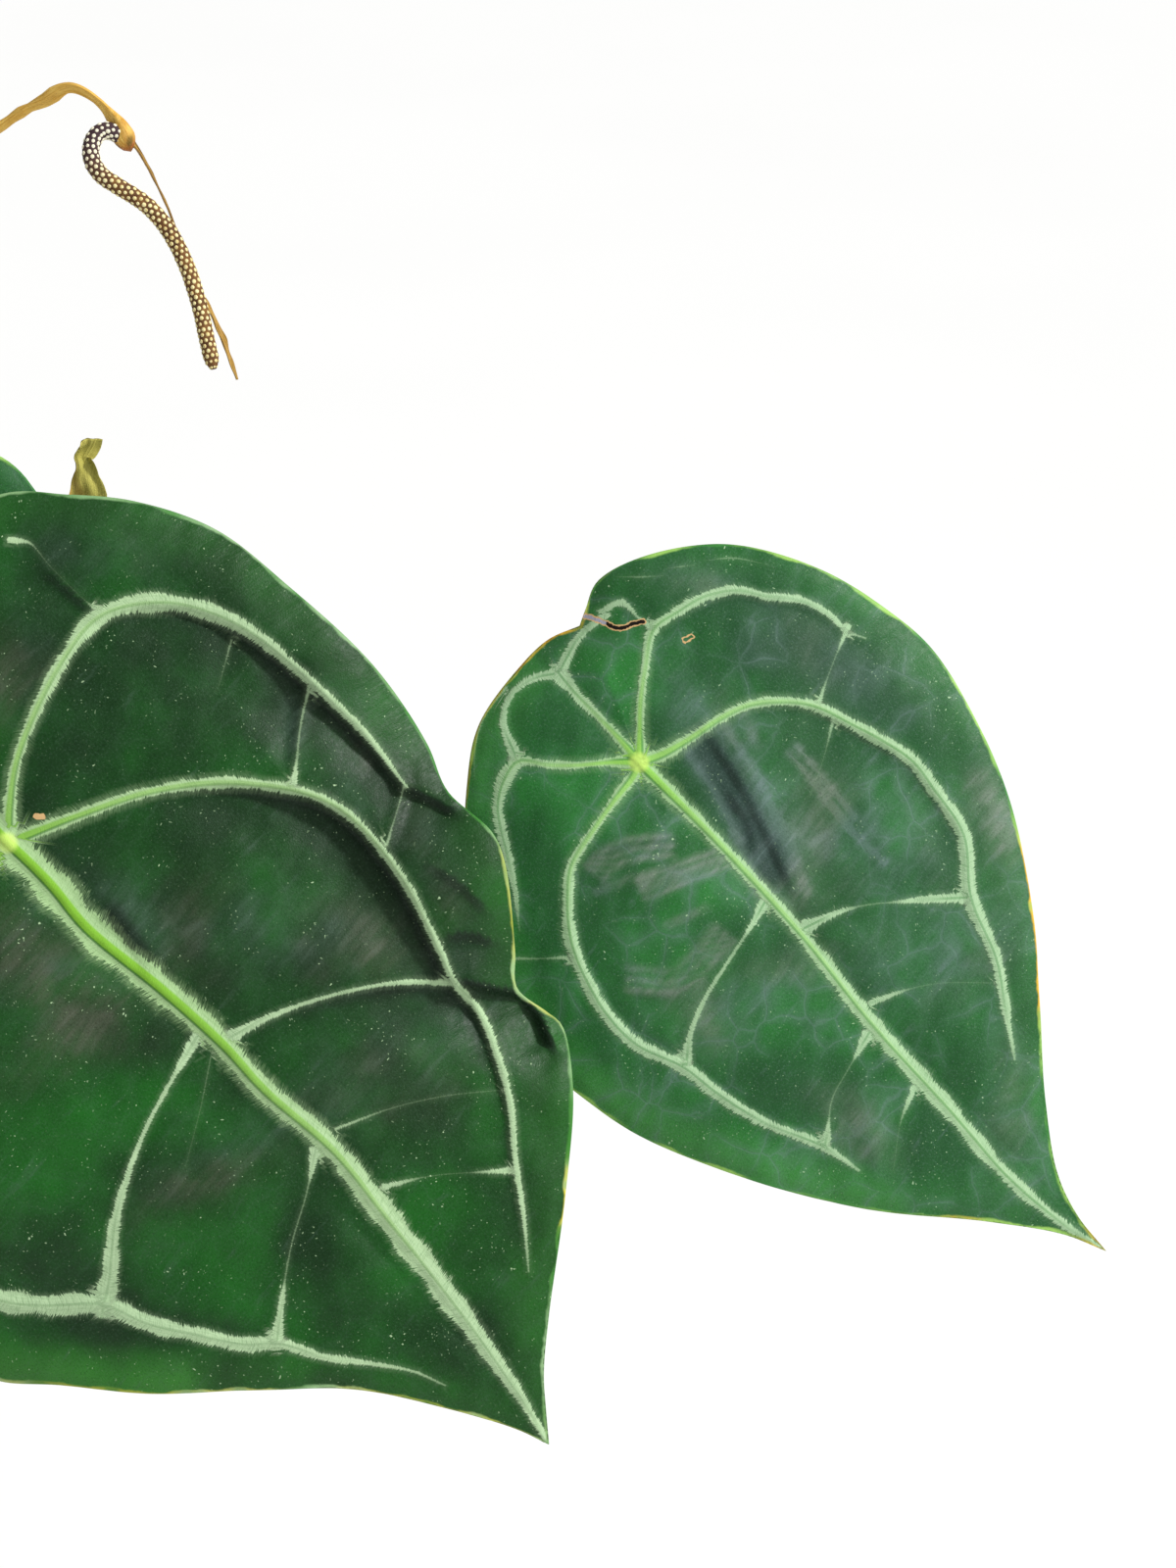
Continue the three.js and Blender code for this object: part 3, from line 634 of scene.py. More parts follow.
@dataclass(frozen=True)
class LeafFinish:
    """Velvet blade with a pale, comb-edged vein net."""

    name: str
    deep: Colour
    lit: Colour
    # Grey-blue of the painted sheen; the vein net is drawn in it too.
    sheen_slate: Colour
    margin_green: Colour
    band: Colour
    core: Colour
    groove: float
    edge: Colour
    edge_burn: Colour
    # Brown of the painted sheen.
    brown_sheen: Colour = srgb(92, 94, 80)
    # Colour of the painted shade.
    shade: Colour = srgb(12, 26, 16)
    boss: Colour = srgb(206, 236, 118)
    net: float = 0.14
    roughness: float = 0.46
    underside: Colour = srgb(104, 132, 92)
    scar: Colour = srgb(206, 170, 118)
    bleached: Colour = srgb(158, 158, 170)
    slit: Colour = srgb(24, 18, 12)

    def make(self) -> Material:
        """Wires the blade's material, layer by layer."""
        bench = Bench(self.name)
        marks = LeafMarks(bench)
        net = bench.cells(bench.drift(marks.flat, 0.08, 4), 0.085, "DISTANCE_TO_EDGE").outputs["Distance"]
        net = bench.plus(bench.ease(net, 0.03, 0.004), bench.ease(net, 0.2, 0.02, 0, 0.8))
        net = bench.times(net, bench.ease(marks.mottle, 0.42, 0.6, 0, self.net))
        lamina = self.paint_sheen_and_shade(bench, marks, self.green(bench, marks))
        lamina = self.speckle(bench, marks, bench.blend(net, lamina, self.sheen_slate))
        pale = self.vein(bench, marks)
        halo = bench.times(marks.halo, bench.ease(marks.lime, 0, 1, 0.13, 0.32))
        colour = bench.blend(marks.band, bench.blend(halo, lamina, pale), pale)
        from_hub = bench.maths("MULTIPLY_ADD", marks.x, marks.x, bench.times(marks.y, marks.y))
        from_hub = bench.maths("SQRT", from_hub)
        colour = bench.blend(bench.ease(from_hub, 3.2, 1.6, 0, 0.7), colour, self.boss)
        colour = self.edged(bench, marks, colour)

        under = bench.blend(bench.ease(marks.inside, -1.2, 0.3), self.underside, self.band)
        under = bench.blend(bench.ease(marks.fine, 0.35, 0.7, 0, 0.3), under, self.margin_green)
        colour = bench.blend(bench.ease(marks.side, 0.35, 0.65), colour, under)
        colour = self.torn(bench, marks, colour)

        rough = bench.ease(marks.fine, 0.3, 0.7, self.roughness - 0.05, self.roughness + 0.09)
        rough = bench.plus(rough, bench.times(marks.band, 0.12))
        velvet = bench.cells(marks.flat, 2.6).outputs["Distance"]
        wrinkle = bench.noise(bench.stretch(marks.flat, 0.12, 0.5, 80), 1, 4, 0.6)
        ragged = bench.times(marks.band, marks.comb)
        normal = bench.relief((velvet, 0.035), (wrinkle, 0.22), (bench.less(1.0, net), 0.12), (ragged, 0.14))
        return bench.finish(
            colour, rough, normal, Specular_IOR_Level=0.17, Sheen_Weight=0.03, Sheen_Roughness=0.45
        )

    def green(self, bench: Bench, marks: LeafMarks) -> Socket:
        """The blade's green between its veins: mottled, lighter where light is painted and darker where shade
        is painted, and fresher towards the margin.

        Args:
            bench: Bench that the nodes are wired on.
            marks: What the blade's mesh tells.

        Returns:
            The colour.
        """
        patch = bench.plus(marks.mottle, bench.times(bench.less(marks.fine, 0.5), 0.16))
        # Painted light lightens the green; where negative, painted shade darkens it.
        patch = bench.plus(patch, bench.times(marks.glow, 0.4))
        lamina = bench.blend(bench.ease(patch, 0.3, 0.95), self.deep, self.lit)
        inward = bench.ease(marks.margin, 15, 1.5)
        share = bench.times(inward, bench.ease(marks.mottle, 0.3, 0.65, 0.7, 1))
        share = bench.times(share, bench.ease(marks.glow, -0.05, 0.4, 0.14, 0.85))
        return bench.blend(share, lamina, self.margin_green)

    def paint_sheen_and_shade(self, bench: Bench, marks: LeafMarks, lamina: Socket) -> Socket:
        """Covers the green with painted sheen in grey-blue and brown, painted shade, and a velvet nap of fine
        specks in the sheen's and the shade's colours.

        Args:
            bench: Bench that the nodes are wired on.
            marks: What the blade's mesh tells.
            lamina: The green so far.

        Returns:
            The weathered colour.
        """
        flat = marks.flat
        # Painted sheen: patches and strokes of grey-blue and brown, broken up by streaky noise.
        brushed = bench.noise(bench.stretch(bench.drift(flat, 0.03, 3), 0.05, 0.42, 97), 1, 4, 0.6)
        cloud = bench.noise(flat, 0.09, 3, 0.5)
        sheen_and_wear = bench.times(bench.ease(brushed, 0.32, 0.72, 0.35, 1), bench.ease(cloud, 0.3, 0.6, 0.35, 1))
        sheen_and_wear = bench.maths("MAXIMUM", sheen_and_wear, bench.ease(marks.sheen_slate, 0.6, 1, 0, 0.5))
        sheen_tint = bench.blend(bench.ease(bench.noise(flat, 0.028, 2), 0.42, 0.6), self.sheen_slate, self.brown_sheen)
        lamina = bench.blend(bench.times(marks.sheen_slate, sheen_and_wear), lamina, sheen_tint)
        # Stray streaks of painted sheen.
        stray_sheen = bench.times(bench.ease(brushed, 0.56, 0.76), bench.ease(cloud, 0.4, 0.62, 0, 0.3))
        lamina = bench.blend(stray_sheen, lamina, self.sheen_slate)
        # Painted shade where the painted light is negative: in hollows and along shaded strokes.
        lamina = bench.blend(bench.ease(marks.glow, 0, -1, 0, 0.75), lamina, self.shade)
        # Velvet nap: fine specks towards the painted sheen's grey-blue and the painted shade's colour.
        nap = bench.noise(flat, 1.7, 2, 0.7)
        lamina = bench.blend(bench.ease(nap, 0.5, 0.74, 0, 0.24), lamina, self.sheen_slate)
        return bench.blend(bench.ease(nap, 0.5, 0.26, 0, 0.4), lamina, self.shade)

    def speckle(self, bench: Bench, marks: LeafMarks, lamina: Socket) -> Socket:
        """Strews pale dots of two sizes, in loose crowds.

        Args:
            bench: Bench that the nodes are wired on.
            marks: What the blade's mesh tells.
            lamina: The green so far.

        Returns:
            The dotted colour.
        """
        for density, size, seen in ((0.5, 0.13, 0.85), (1.0, 0.2, 0.45)):
            dots = bench.cells(bench.drift(marks.flat, 0.3, 1.5), density)
            dot = bench.ease(dots.outputs["Distance"], size, 0.6 * size)
            chosen = bench.maths("GREATER_THAN", bench.split(dots.outputs["Color"])[0], 0.55)
            crowd = bench.ease(bench.noise(marks.flat, 0.07, 3), 0.46, 0.62, 0.12 * seen, seen)
            lamina = bench.blend(bench.times(bench.times(dot, chosen), crowd), lamina, self.band)
        return lamina

    def vein(self, bench: Bench, marks: LeafMarks) -> Socket:
        """The pale band of a vein, grained along it, with its fresh core and a darker line: painted shadow
        beside the raised core where the vein is fresh, a groove line along the middle of the others.

        Args:
            bench: Bench that the nodes are wired on.
            marks: What the blade's mesh tells.

        Returns:
            The band's colour.
        """
        lime, width = marks.lime, marks.width
        grain = bench.ease(marks.vein_noise(bench, marks.along, 0.16, 2.2, 3), 0.38, 0.68, 0, 0.3)
        pale = bench.blend(grain, self.band, bench.blend(0.55, self.band, self.lit))
        pale = bench.blend(bench.ease(marks.comb, 0.5, 0.35, 0, 0.25), pale, self.lit)
        core = bench.maths("MINIMUM", bench.times(width, 0.4), bench.maths("MULTIPLY_ADD", lime, 0.95, 0.2))
        core_share = bench.times(bench.ease(bench.less(core, marks.across), -0.35, 0.3), lime)
        pale = bench.blend(bench.times(lime, 0.25), pale, self.core)
        pale = bench.blend(core_share, pale, self.core)
        # Painted shadow line beside the raised core of fresh veins; a groove line along the middle of the
        # others.
        beside = bench.plus(marks.offset, bench.times(core, bench.ease(lime, 0, 0.6)))
        groove = bench.ease(bench.maths("ABSOLUTE", beside), 0.45, 0.15)
        groove = bench.times(groove, bench.maths("MAXIMUM", bench.times(lime, 0.7), self.groove))
        return bench.blend(bench.times(groove, bench.ease(width, 0.8, 1.6)), pale, self.lit)

    def edged(self, bench: Bench, marks: LeafMarks, colour: Socket) -> Socket:
        """Draws the fine pale edge, scorched in places.

        Args:
            bench: Bench that the nodes are wired on.
            marks: What the blade's mesh tells.
            colour: The blade's colour so far.

        Returns:
            The colour with its edge.
        """
        uneven = bench.noise(marks.flat, 0.11, 3)
        scorch = bench.times(marks.burn, bench.ease(uneven, 0.35, 0.55, 0.2, 1))
        width = bench.plus(bench.ease(uneven, 0.3, 0.7, -0.5, 0.35), bench.times(scorch, 0.1))
        line = bench.ease(bench.plus(marks.margin, width), 0.9, 0.2)
        greener = bench.ease(bench.noise(marks.flat, 0.05, 2), 0.4, 0.62)
        edge = bench.blend(scorch, bench.blend(greener, self.edge, self.margin_green), self.edge_burn)
        return bench.blend(line, colour, edge)

    def torn(self, bench: Bench, marks: LeafMarks, colour: Socket) -> Socket:
        """Draws the scars: a tan rim round a dark slit, a bleached strip or healed green.

        Args:
            bench: Bench that the nodes are wired on.
            marks: What the blade's mesh tells.
            colour: The blade's colour so far.

        Returns:
            The colour with its scars.
        """
        kind, offset, distance = bench.split(bench.attribute("tear"))
        apart = bench.maths("MAXIMUM", bench.maths("ABSOLUTE", offset), bench.less(distance, 0.3))
        apart = bench.plus(apart, bench.ease(bench.noise(marks.flat, 0.9, 2), 0.3, 0.7, -0.14, 0.14))
        filled = bench.maths("MAXIMUM", bench.ease(kind, 0.2, 0.4), bench.ease(kind, -0.2, -0.6))
        filled = bench.maths("MAXIMUM", bench.ease(apart, 0.36, 0.5), filled)
        colour = bench.blend(bench.times(bench.ease(apart, 0.86, 0.7), filled), colour, self.scar)
        inner = bench.blend(bench.ease(kind, 0.6, 0.9), self.bleached, self.slit)
        opened = bench.times(bench.ease(apart, 0.5, 0.36), bench.ease(kind, 0.2, 0.4))
        return bench.blend(opened, colour, inner)


@dataclass(frozen=True)
class StalkFinish:
    """Fresh stalk, streaked along its length and flushed brown towards its foot."""

    name: str
    green: Colour
    shade: Colour
    flush: Colour
    flush_height: float = 210.0

    def make(self) -> Material:
        """Wires the stalk's material."""
        bench = Bench(self.name)
        unbent = bench.attribute("unbent")
        lengthwise = bench.vector("MULTIPLY", unbent, (1.4, 1.4, 0.045))
        streak = bench.noise(lengthwise, 1, 4, 0.6)
        colour = bench.blend(bench.ease(streak, 0.36, 0.66), self.green, self.shade)
        height = bench.split(bench.place())[2]
        low = bench.plus(height, bench.ease(streak, 0.3, 0.7, -28, 28))
        flushed = bench.ease(low, self.flush_height, self.flush_height - 75, 0, 0.85)
        colour = bench.blend(flushed, colour, self.flush)
        pores = bench.cells(bench.vector("MULTIPLY", unbent, (1.1, 1.1, 0.5)), 0.75)
        pore = bench.times(bench.ease(pores.outputs["Distance"], 0.2, 0.1),
                           bench.maths("GREATER_THAN", bench.split(pores.outputs["Color"])[1], 0.55))
        colour = bench.blend(bench.times(pore, 0.45), colour, srgb(196, 196, 140))
        normal = bench.relief((streak, 0.28), (bench.noise(unbent, 2.4, 3), 0.05))
        return bench.finish(colour, bench.ease(streak, 0.3, 0.7, 0.4, 0.58), normal, Specular_IOR_Level=0.4)


@dataclass(frozen=True)
class DriedFinish:
    """Withered stalk or spathe: creased along its length, with darker edges."""

    name: str
    pale: Colour
    deep: Colour
    burnt: Colour
    crease: float = 0.45

    def make(self) -> Material:
        """Wires the dried material, which reads unbent and, from burn, the scorch and the places drawn
        lighter and darker, which on the spathe are painted light and painted shade.
        """
        bench = Bench(self.name)
        unbent = bench.attribute("unbent")
        burn, light, dark = bench.split(bench.attribute("burn"))
        fibre = bench.noise(bench.vector("MULTIPLY", unbent, (2.6, 2.6, 0.09)), 1, 5, 0.62)
        cloud = bench.noise(unbent, 0.16, 3)
        colour = bench.blend(bench.ease(fibre, 0.34, 0.68), self.pale, self.deep)
        colour = bench.blend(bench.ease(cloud, 0.48, 0.75, 0, 0.6), colour, self.deep)
        spot = bench.plus(burn, bench.ease(cloud, 0.55, 0.8, -0.12, 0.25))
        colour = bench.blend(bench.ease(spot, 0.1, 0.9), colour, self.burnt)
        speck = bench.noise(unbent, 1.9, 2)
        colour = bench.blend(bench.ease(speck, 0.66, 0.74, 0, 0.55), colour, self.burnt)
        # Lighter and darker places; on the spathe, painted light on its fold's flank and painted shade beside
        # the ridge.
        colour = bench.blend(light, colour, self.pale)
        colour = bench.blend(dark, colour, srgb(104, 86, 24))
        normal = bench.relief((fibre, self.crease), (bench.noise(unbent, 3.1, 3), 0.07))
        return bench.finish(colour, bench.ease(fibre, 0.3, 0.7, 0.5, 0.72), normal, Specular_IOR_Level=0.35)


@dataclass(frozen=True)
class SpadixFinish:
    """Dry flower spike: brown flesh set with pale round knobs."""

    name: str
    flesh: Colour
    flesh_light: Colour
    knob: Colour
    knob_shade: Colour

    def make(self) -> Material:
        """Wires the spike's material, which reads how much knob a point is and how far along."""
        bench = Bench(self.name)
        place = bench.place()
        share, run, _ = bench.split(bench.attribute("knob"))
        upper = bench.ease(run, 0.32, 0.12)
        flesh = bench.blend(bench.ease(bench.noise(place, 0.5, 4), 0.35, 0.7), self.flesh, self.flesh_light)
        flesh = bench.blend(upper, flesh, srgb(66, 46, 50))
        knob = bench.blend(bench.ease(bench.noise(place, 1.1, 3), 0.38, 0.68), self.knob, self.knob_shade)
        knob = bench.blend(bench.times(upper, 0.7), knob, srgb(240, 238, 222))
        colour = bench.blend(bench.ease(share, 0.35, 0.6), flesh, knob)
        normal = bench.relief((bench.noise(place, 2.8, 3), 0.12))
        return bench.finish(colour, 0.72, normal, Specular_IOR_Level=0.25)


@dataclass(frozen=True)
class BarkFinish:
    """Old stem: corky, ringed by scars, with papery threads."""

    name: str
    cork: Colour
    dark: Colour
    fresh: Colour

    def make(self) -> Material:
        """Wires the stem's material, which reads how fresh each point is."""
        bench = Bench(self.name)
        place = bench.place()
        fresh = bench.split(bench.attribute("fresh"))[0]
        ringed = bench.noise(bench.vector("MULTIPLY", place, (0.14, 0.14, 0.75)), 1, 4, 0.6)
        pitted = bench.noise(place, 0.62, 5, 0.65)
        colour = bench.blend(bench.ease(ringed, 0.36, 0.66), self.cork, self.dark)
        colour = bench.blend(bench.ease(pitted, 0.52, 0.7, 0, 0.7), colour, self.dark)
        green = bench.times(fresh, bench.ease(pitted, 0.25, 0.6, 1, 0.55))
        colour = bench.blend(green, colour, self.fresh)
        normal = bench.relief((ringed, 0.7), (pitted, 0.5))
        return bench.finish(colour, bench.ease(pitted, 0.3, 0.7, 0.72, 0.9), normal, Specular_IOR_Level=0.25)


@dataclass(frozen=True)
class SoilFinish:
    """Damp airy mix: dark crumb, bark chips, pale grit and a little moss, told apart by kind."""

    name: str
    crumb: Colour
    crumb_light: Colour
    chip: Colour
    chip_light: Colour
    grit: Colour
    moss: Colour

    def make(self) -> Material:
        """Wires the soil's material, which reads the kind of each lump."""
        bench = Bench(self.name)
        place = bench.place()
        chip, grit, shade = bench.split(bench.attribute("kind"))
        grain = bench.noise(place, 0.85, 6, 0.7)
        crumb = bench.blend(bench.ease(grain, 0.38, 0.68), self.crumb, self.crumb_light)
        patch = bench.noise(place, 0.05, 4, 0.6)
        mossy = bench.times(bench.ease(patch, 0.56, 0.66), bench.ease(grain, 0.4, 0.6, 0.2, 0.9))
        crumb = bench.blend(mossy, crumb, self.moss)
        fibre = bench.noise(bench.vector("MULTIPLY", place, (0.35, 1.5, 1.1)), 1, 5, 0.65)
        sheen_and_wear = bench.ease(bench.maths("MULTIPLY_ADD", shade, 0.5, fibre), 0.35, 1.05)
        bark = bench.blend(sheen_and_wear, self.chip, self.chip_light)
        colour = bench.blend(chip, crumb, bark)
        stained = bench.blend(shade, self.grit, self.chip_light)
        stone = bench.blend(bench.ease(grain, 0.4, 0.75), self.grit, stained)
        colour = bench.blend(grit, colour, stone)
        normal = bench.relief((grain, 0.9), (fibre, 0.35))
        return bench.finish(colour, 0.9, normal, Specular_IOR_Level=0.2)


@dataclass(frozen=True)
class ClayFinish:
    """Unglazed clay: fine grain, turning lines, a damp foot and pale bloom from hard water."""

    name: str
    clay: Colour
    baked: Colour
    damp: Colour
    bloom: Colour
    bloom_height: float = 96.0

    def make(self) -> Material:
        """Wires the clay's material."""
        bench = Bench(self.name)
        place = bench.place()
        height = bench.split(place)[2]
        cloud = bench.noise(place, 0.018, 5, 0.6)
        grain = bench.noise(place, 1.6, 5, 0.7)
        colour = bench.blend(bench.ease(cloud, 0.36, 0.64), self.clay, self.baked)
        colour = bench.blend(bench.ease(grain, 0.5, 0.75, 0, 0.35), colour, self.baked)
        rise = bench.plus(height, bench.ease(bench.noise(place, 0.03, 4), 0.3, 0.7, -26, 26))
        colour = bench.blend(bench.ease(rise, 46, 14, 0, 0.5), colour, self.damp)
        crust = bench.noise(place, 0.06, 6, 0.72)
        line = bench.times(bench.ease(rise, self.bloom_height - 34, self.bloom_height),
                           bench.ease(rise, self.bloom_height + 34, self.bloom_height + 6))
        crusted = bench.times(bench.ease(crust, 0.44, 0.66), bench.ease(line, 0, 1, 0.08, 0.36))
        colour = bench.blend(crusted, colour, self.bloom)
        fleck = bench.cells(place, 0.34)
        flecked = bench.times(bench.ease(fleck.outputs["Distance"], 0.13, 0.07),
                              bench.maths("GREATER_THAN", bench.split(fleck.outputs["Color"])[0], 0.8))
        colour = bench.blend(bench.times(flecked, 0.5), colour, self.damp)
        turned = bench.noise(bench.vector("MULTIPLY", place, (0.006, 0.006, 0.8)), 1, 4, 0.6)
        normal = bench.relief((turned, 0.22), (grain, 0.16), (crusted, 0.2))
        return bench.finish(colour, bench.ease(grain, 0.3, 0.7, 0.78, 0.95), normal, Specular_IOR_Level=0.3)


@dataclass(frozen=True)
class FloorFinish:
    """Plain pale studio floor."""

    name: str
    pale: Colour

    def make(self) -> Material:
        """Wires the floor's material."""
        bench = Bench(self.name)
        soft = bench.noise(bench.place(), 0.002, 2)
        colour = bench.blend(bench.ease(soft, 0.3, 0.7, 0, 0.06), self.pale, srgb(228, 228, 226))
        return bench.finish(colour, 0.9, None, Specular_IOR_Level=0.1)


DARK_BLADE = LeafFinish(
    name="dark velvet blade",
    deep=srgb(18, 48, 20),
    lit=srgb(24, 94, 24),
    sheen_slate=srgb(76, 98, 84),
    margin_green=srgb(56, 122, 44),
    band=srgb(174, 202, 158),
    core=srgb(124, 180, 52),
    groove=0.25,
    edge=srgb(136, 172, 122),
    edge_burn=srgb(206, 196, 70),
    net=0.05,
)
GREEN_BLADE = LeafFinish(
    name="green velvet blade",
    deep=srgb(34, 82, 42),
    lit=srgb(44, 122, 50),
    sheen_slate=srgb(108, 130, 126),
    margin_green=srgb(62, 130, 60),
    band=srgb(166, 198, 156),
    core=srgb(140, 200, 78),
    groove=0.45,
    edge=srgb(150, 196, 96),
    edge_burn=srgb(232, 178, 50),
    brown_sheen=srgb(126, 138, 124),
    shade=srgb(36, 52, 50),
    net=0.2,
    underside=srgb(120, 150, 104),
)
YOUNG_BLADE = LeafFinish(
    name="young green blade",
    deep=srgb(64, 104, 40),
    lit=srgb(96, 142, 52),
    sheen_slate=srgb(128, 150, 104),
    margin_green=srgb(118, 160, 66),
    band=srgb(184, 208, 140),
    core=srgb(176, 214, 92),
    groove=0.5,
    edge=srgb(160, 190, 90),
    edge_burn=srgb(188, 150, 76),
    underside=srgb(140, 164, 100),
)
PETIOLE = StalkFinish("petiole", srgb(122, 150, 84), srgb(84, 116, 58), srgb(112, 84, 58))
SHOOT = StalkFinish("rolled new leaf", srgb(146, 176, 84), srgb(104, 140, 56), srgb(150, 112, 70), 190.0)
DRIED_STALK = DriedFinish("dry gold stalk", srgb(244, 204, 104), srgb(212, 158, 56), srgb(170, 98, 38))
DRIED_SPATHE = DriedFinish("withered spathe", srgb(200, 192, 96), srgb(146, 138, 56), srgb(210, 156, 78), 0.4)
DRIED_STRAP = DriedFinish("withered strap", srgb(188, 150, 70), srgb(152, 116, 46), srgb(124, 92, 38), 0.3)
SPADIX = SpadixFinish(
    "dry spike", srgb(88, 56, 30), srgb(128, 88, 44), srgb(244, 234, 176), srgb(216, 194, 128)
)
BARK = BarkFinish("corky stem", srgb(126, 104, 74), srgb(70, 54, 38), srgb(112, 128, 66))
ROOT_AND_SCALE = BarkFinish(
    "roots and papery scales", srgb(158, 132, 94), srgb(108, 82, 54), srgb(178, 168, 120)
)
SOIL = SoilFinish(
    "airy soil", srgb(44, 32, 25), srgb(78, 58, 42), srgb(82, 56, 38), srgb(148, 106, 68),
    srgb(214, 208, 194), srgb(84, 98, 44),
)
CLAY = ClayFinish("clay", srgb(180, 112, 84), srgb(160, 94, 68), srgb(120, 76, 60), srgb(214, 200, 184))
FLOOR = FloorFinish("pale floor", srgb(246, 246, 245))


# Leaves


class Tear(Enum):
    """What shows inside a tan-rimmed scar of a leaf."""

    CORKY = -1.0
    HEALED = 0.0
    BLEACHED = 0.5
    OPEN = 1.0


@dataclass(frozen=True)
class Vein:
    """One vein in the leaf's plane, where x runs to the tip and y to the right.

    band is the half width of its pale band and lime how fresh its core looks, both evenly spaced
    along it. rib is how far its core stands up. shelf is how much higher the blade stands on one
    side of it, evenly spaced too: the left side where it is positive and the right where negative.
    """

    line: tuple[Point2, ...]
    band: tuple[float, ...]
    lime: tuple[float, ...] = (0.0,)
    rib: float = 0.3
    shelf: tuple[float, ...] = (0.0,)

    def mirrored(self) -> "Vein":
        """The same vein on the leaf's other side."""
        line = tuple((x, -y) for x, y in self.line)
        return Vein(line, self.band, self.lime, self.rib, tuple(-step for step in self.shelf))


@dataclass(frozen=True)
class Patch:
    """An oval place on a leaf: by its list a painted sheen, painted light or painted shade, or a swell."""

    x: float
    y: float
    long: float
    short: float
    turn: float
    strength: float

    def reach(self, x: Array, y: Array) -> Array:
        """The patch's strength at points of the leaf."""
        angle = math.radians(self.turn)
        along = (x - self.x) * math.cos(angle) + (y - self.y) * math.sin(angle)
        across = (y - self.y) * math.cos(angle) - (x - self.x) * math.sin(angle)
        return self.strength * np.exp(-((along / self.long) ** 2) - (across / self.short) ** 2)


@dataclass(frozen=True)
class Stroke:
    """A soft stroke along a line on a leaf: by its list a painted sheen, painted light or painted shade, or a
    scorched margin.

    Copies of it, counting itself, lie a gap apart on its left.
    """

    line: tuple[Point2, ...]
    width: float
    strength: float
    copies: int = 1
    gap: float = 3.0

    def reach(self, x: Array, y: Array) -> Array:
        """The strength at points of the leaf, of the stroke and of its copies on its left."""
        line = Route(self.line).at(np.linspace(0, 1, 24))
        distance, offset, _ = measure_to_line(np.column_stack([x, y]), line)
        past = np.sqrt(np.maximum(distance**2 - offset**2, 0))
        aside = np.min([np.abs(offset - self.gap * copy) for copy in range(self.copies)], axis=0)
        return self.strength * bell(np.hypot(past, aside), self.width)


@dataclass(frozen=True)
class Crease:
    """A line that the blade stands higher on one side of: its left where the step is positive."""

    line: tuple[Point2, ...]
    step: float
    reach: float = 6.0

    def lift(self, places: Array) -> tuple[Array, Array]:
        """The height that it adds at each place, and how deep in its hollow the place lies, which sets the
        shade painted there.

        Args:
            places: Points of the flat blade.

        Returns:
            Height, and depth for the painted shade, for each point.
        """
        route = Route(self.line)
        line = route.at(np.linspace(0, 1, max(4, round(route.length / 1.6))))
        distance, offset, along = measure_to_line(places, line)
        inner = ramp(0, 0.2, along / route.length) * ramp(0, 0.2, 1 - along / route.length)
        step = self.step * (0.3 + 0.7 * inner)
        return ledge(distance, offset, step, self.reach), hollow(distance, offset, 1.6 * step, 1.3)


def hollow(distance: Array, offset: Array, step: Array, width: float) -> Array:
    """How deep each point lies in the hollow at a ledge's lower side, 0 to 1, which sets the shade painted
    there.
    """
    lower = offset * np.sign(step) < 0
    ends = bell(np.maximum(distance - np.abs(offset), 0), 2)
    fade = 0.6 - 0.6 * ramp(0.5 * width, 2.4 * width, distance)
    fade += 0.4 - 0.4 * ramp(width, 8 * width, distance)
    return np.where(lower, np.clip(np.abs(step) / 4, 0, 1) * fade * ends, 0)


def ledge(distance: Array, offset: Array, step: Array, reach: float) -> Array:
    """Height beside a line where one side of the blade stands higher.

    Args:
        distance: How far each point is from the line.
        offset: The same to its sides, with the left positive.
        step: How much higher the left side is, or the right where it is negative.
        reach: How far the step is felt.

    Returns:
        The height of each point.
    """
    higher = offset * np.sign(step) > 0
    drop = 0.55 - ramp(0.2, 2.5, distance)
    low = np.where(distance < 2.5, drop, -0.45 * bell(distance - 2.5, reach))
    ends = bell(np.maximum(distance - np.abs(offset), 0), 2)
    return np.abs(step) * ends * np.where(higher, 0.55 * bell(distance, reach), low)


@dataclass(frozen=True)
class LeafShape:
    """Outline and vein net of one kind of blade, from the back of the leaf to its tip."""

    right: tuple[Point2, ...]
    left: tuple[Point2, ...]
    veins: tuple[Vein, ...]

    @property
    def reach(self) -> float:
        """Distance from the joint to the tip."""
        return self.right[-1][0]

    @property
    def back(self) -> float:
        """Place of the leaf's back, behind the joint."""
        return self.right[0][0]

    @property
    def half_width(self) -> float:
        """Widest half."""
        return max(y for _, y in self.right)


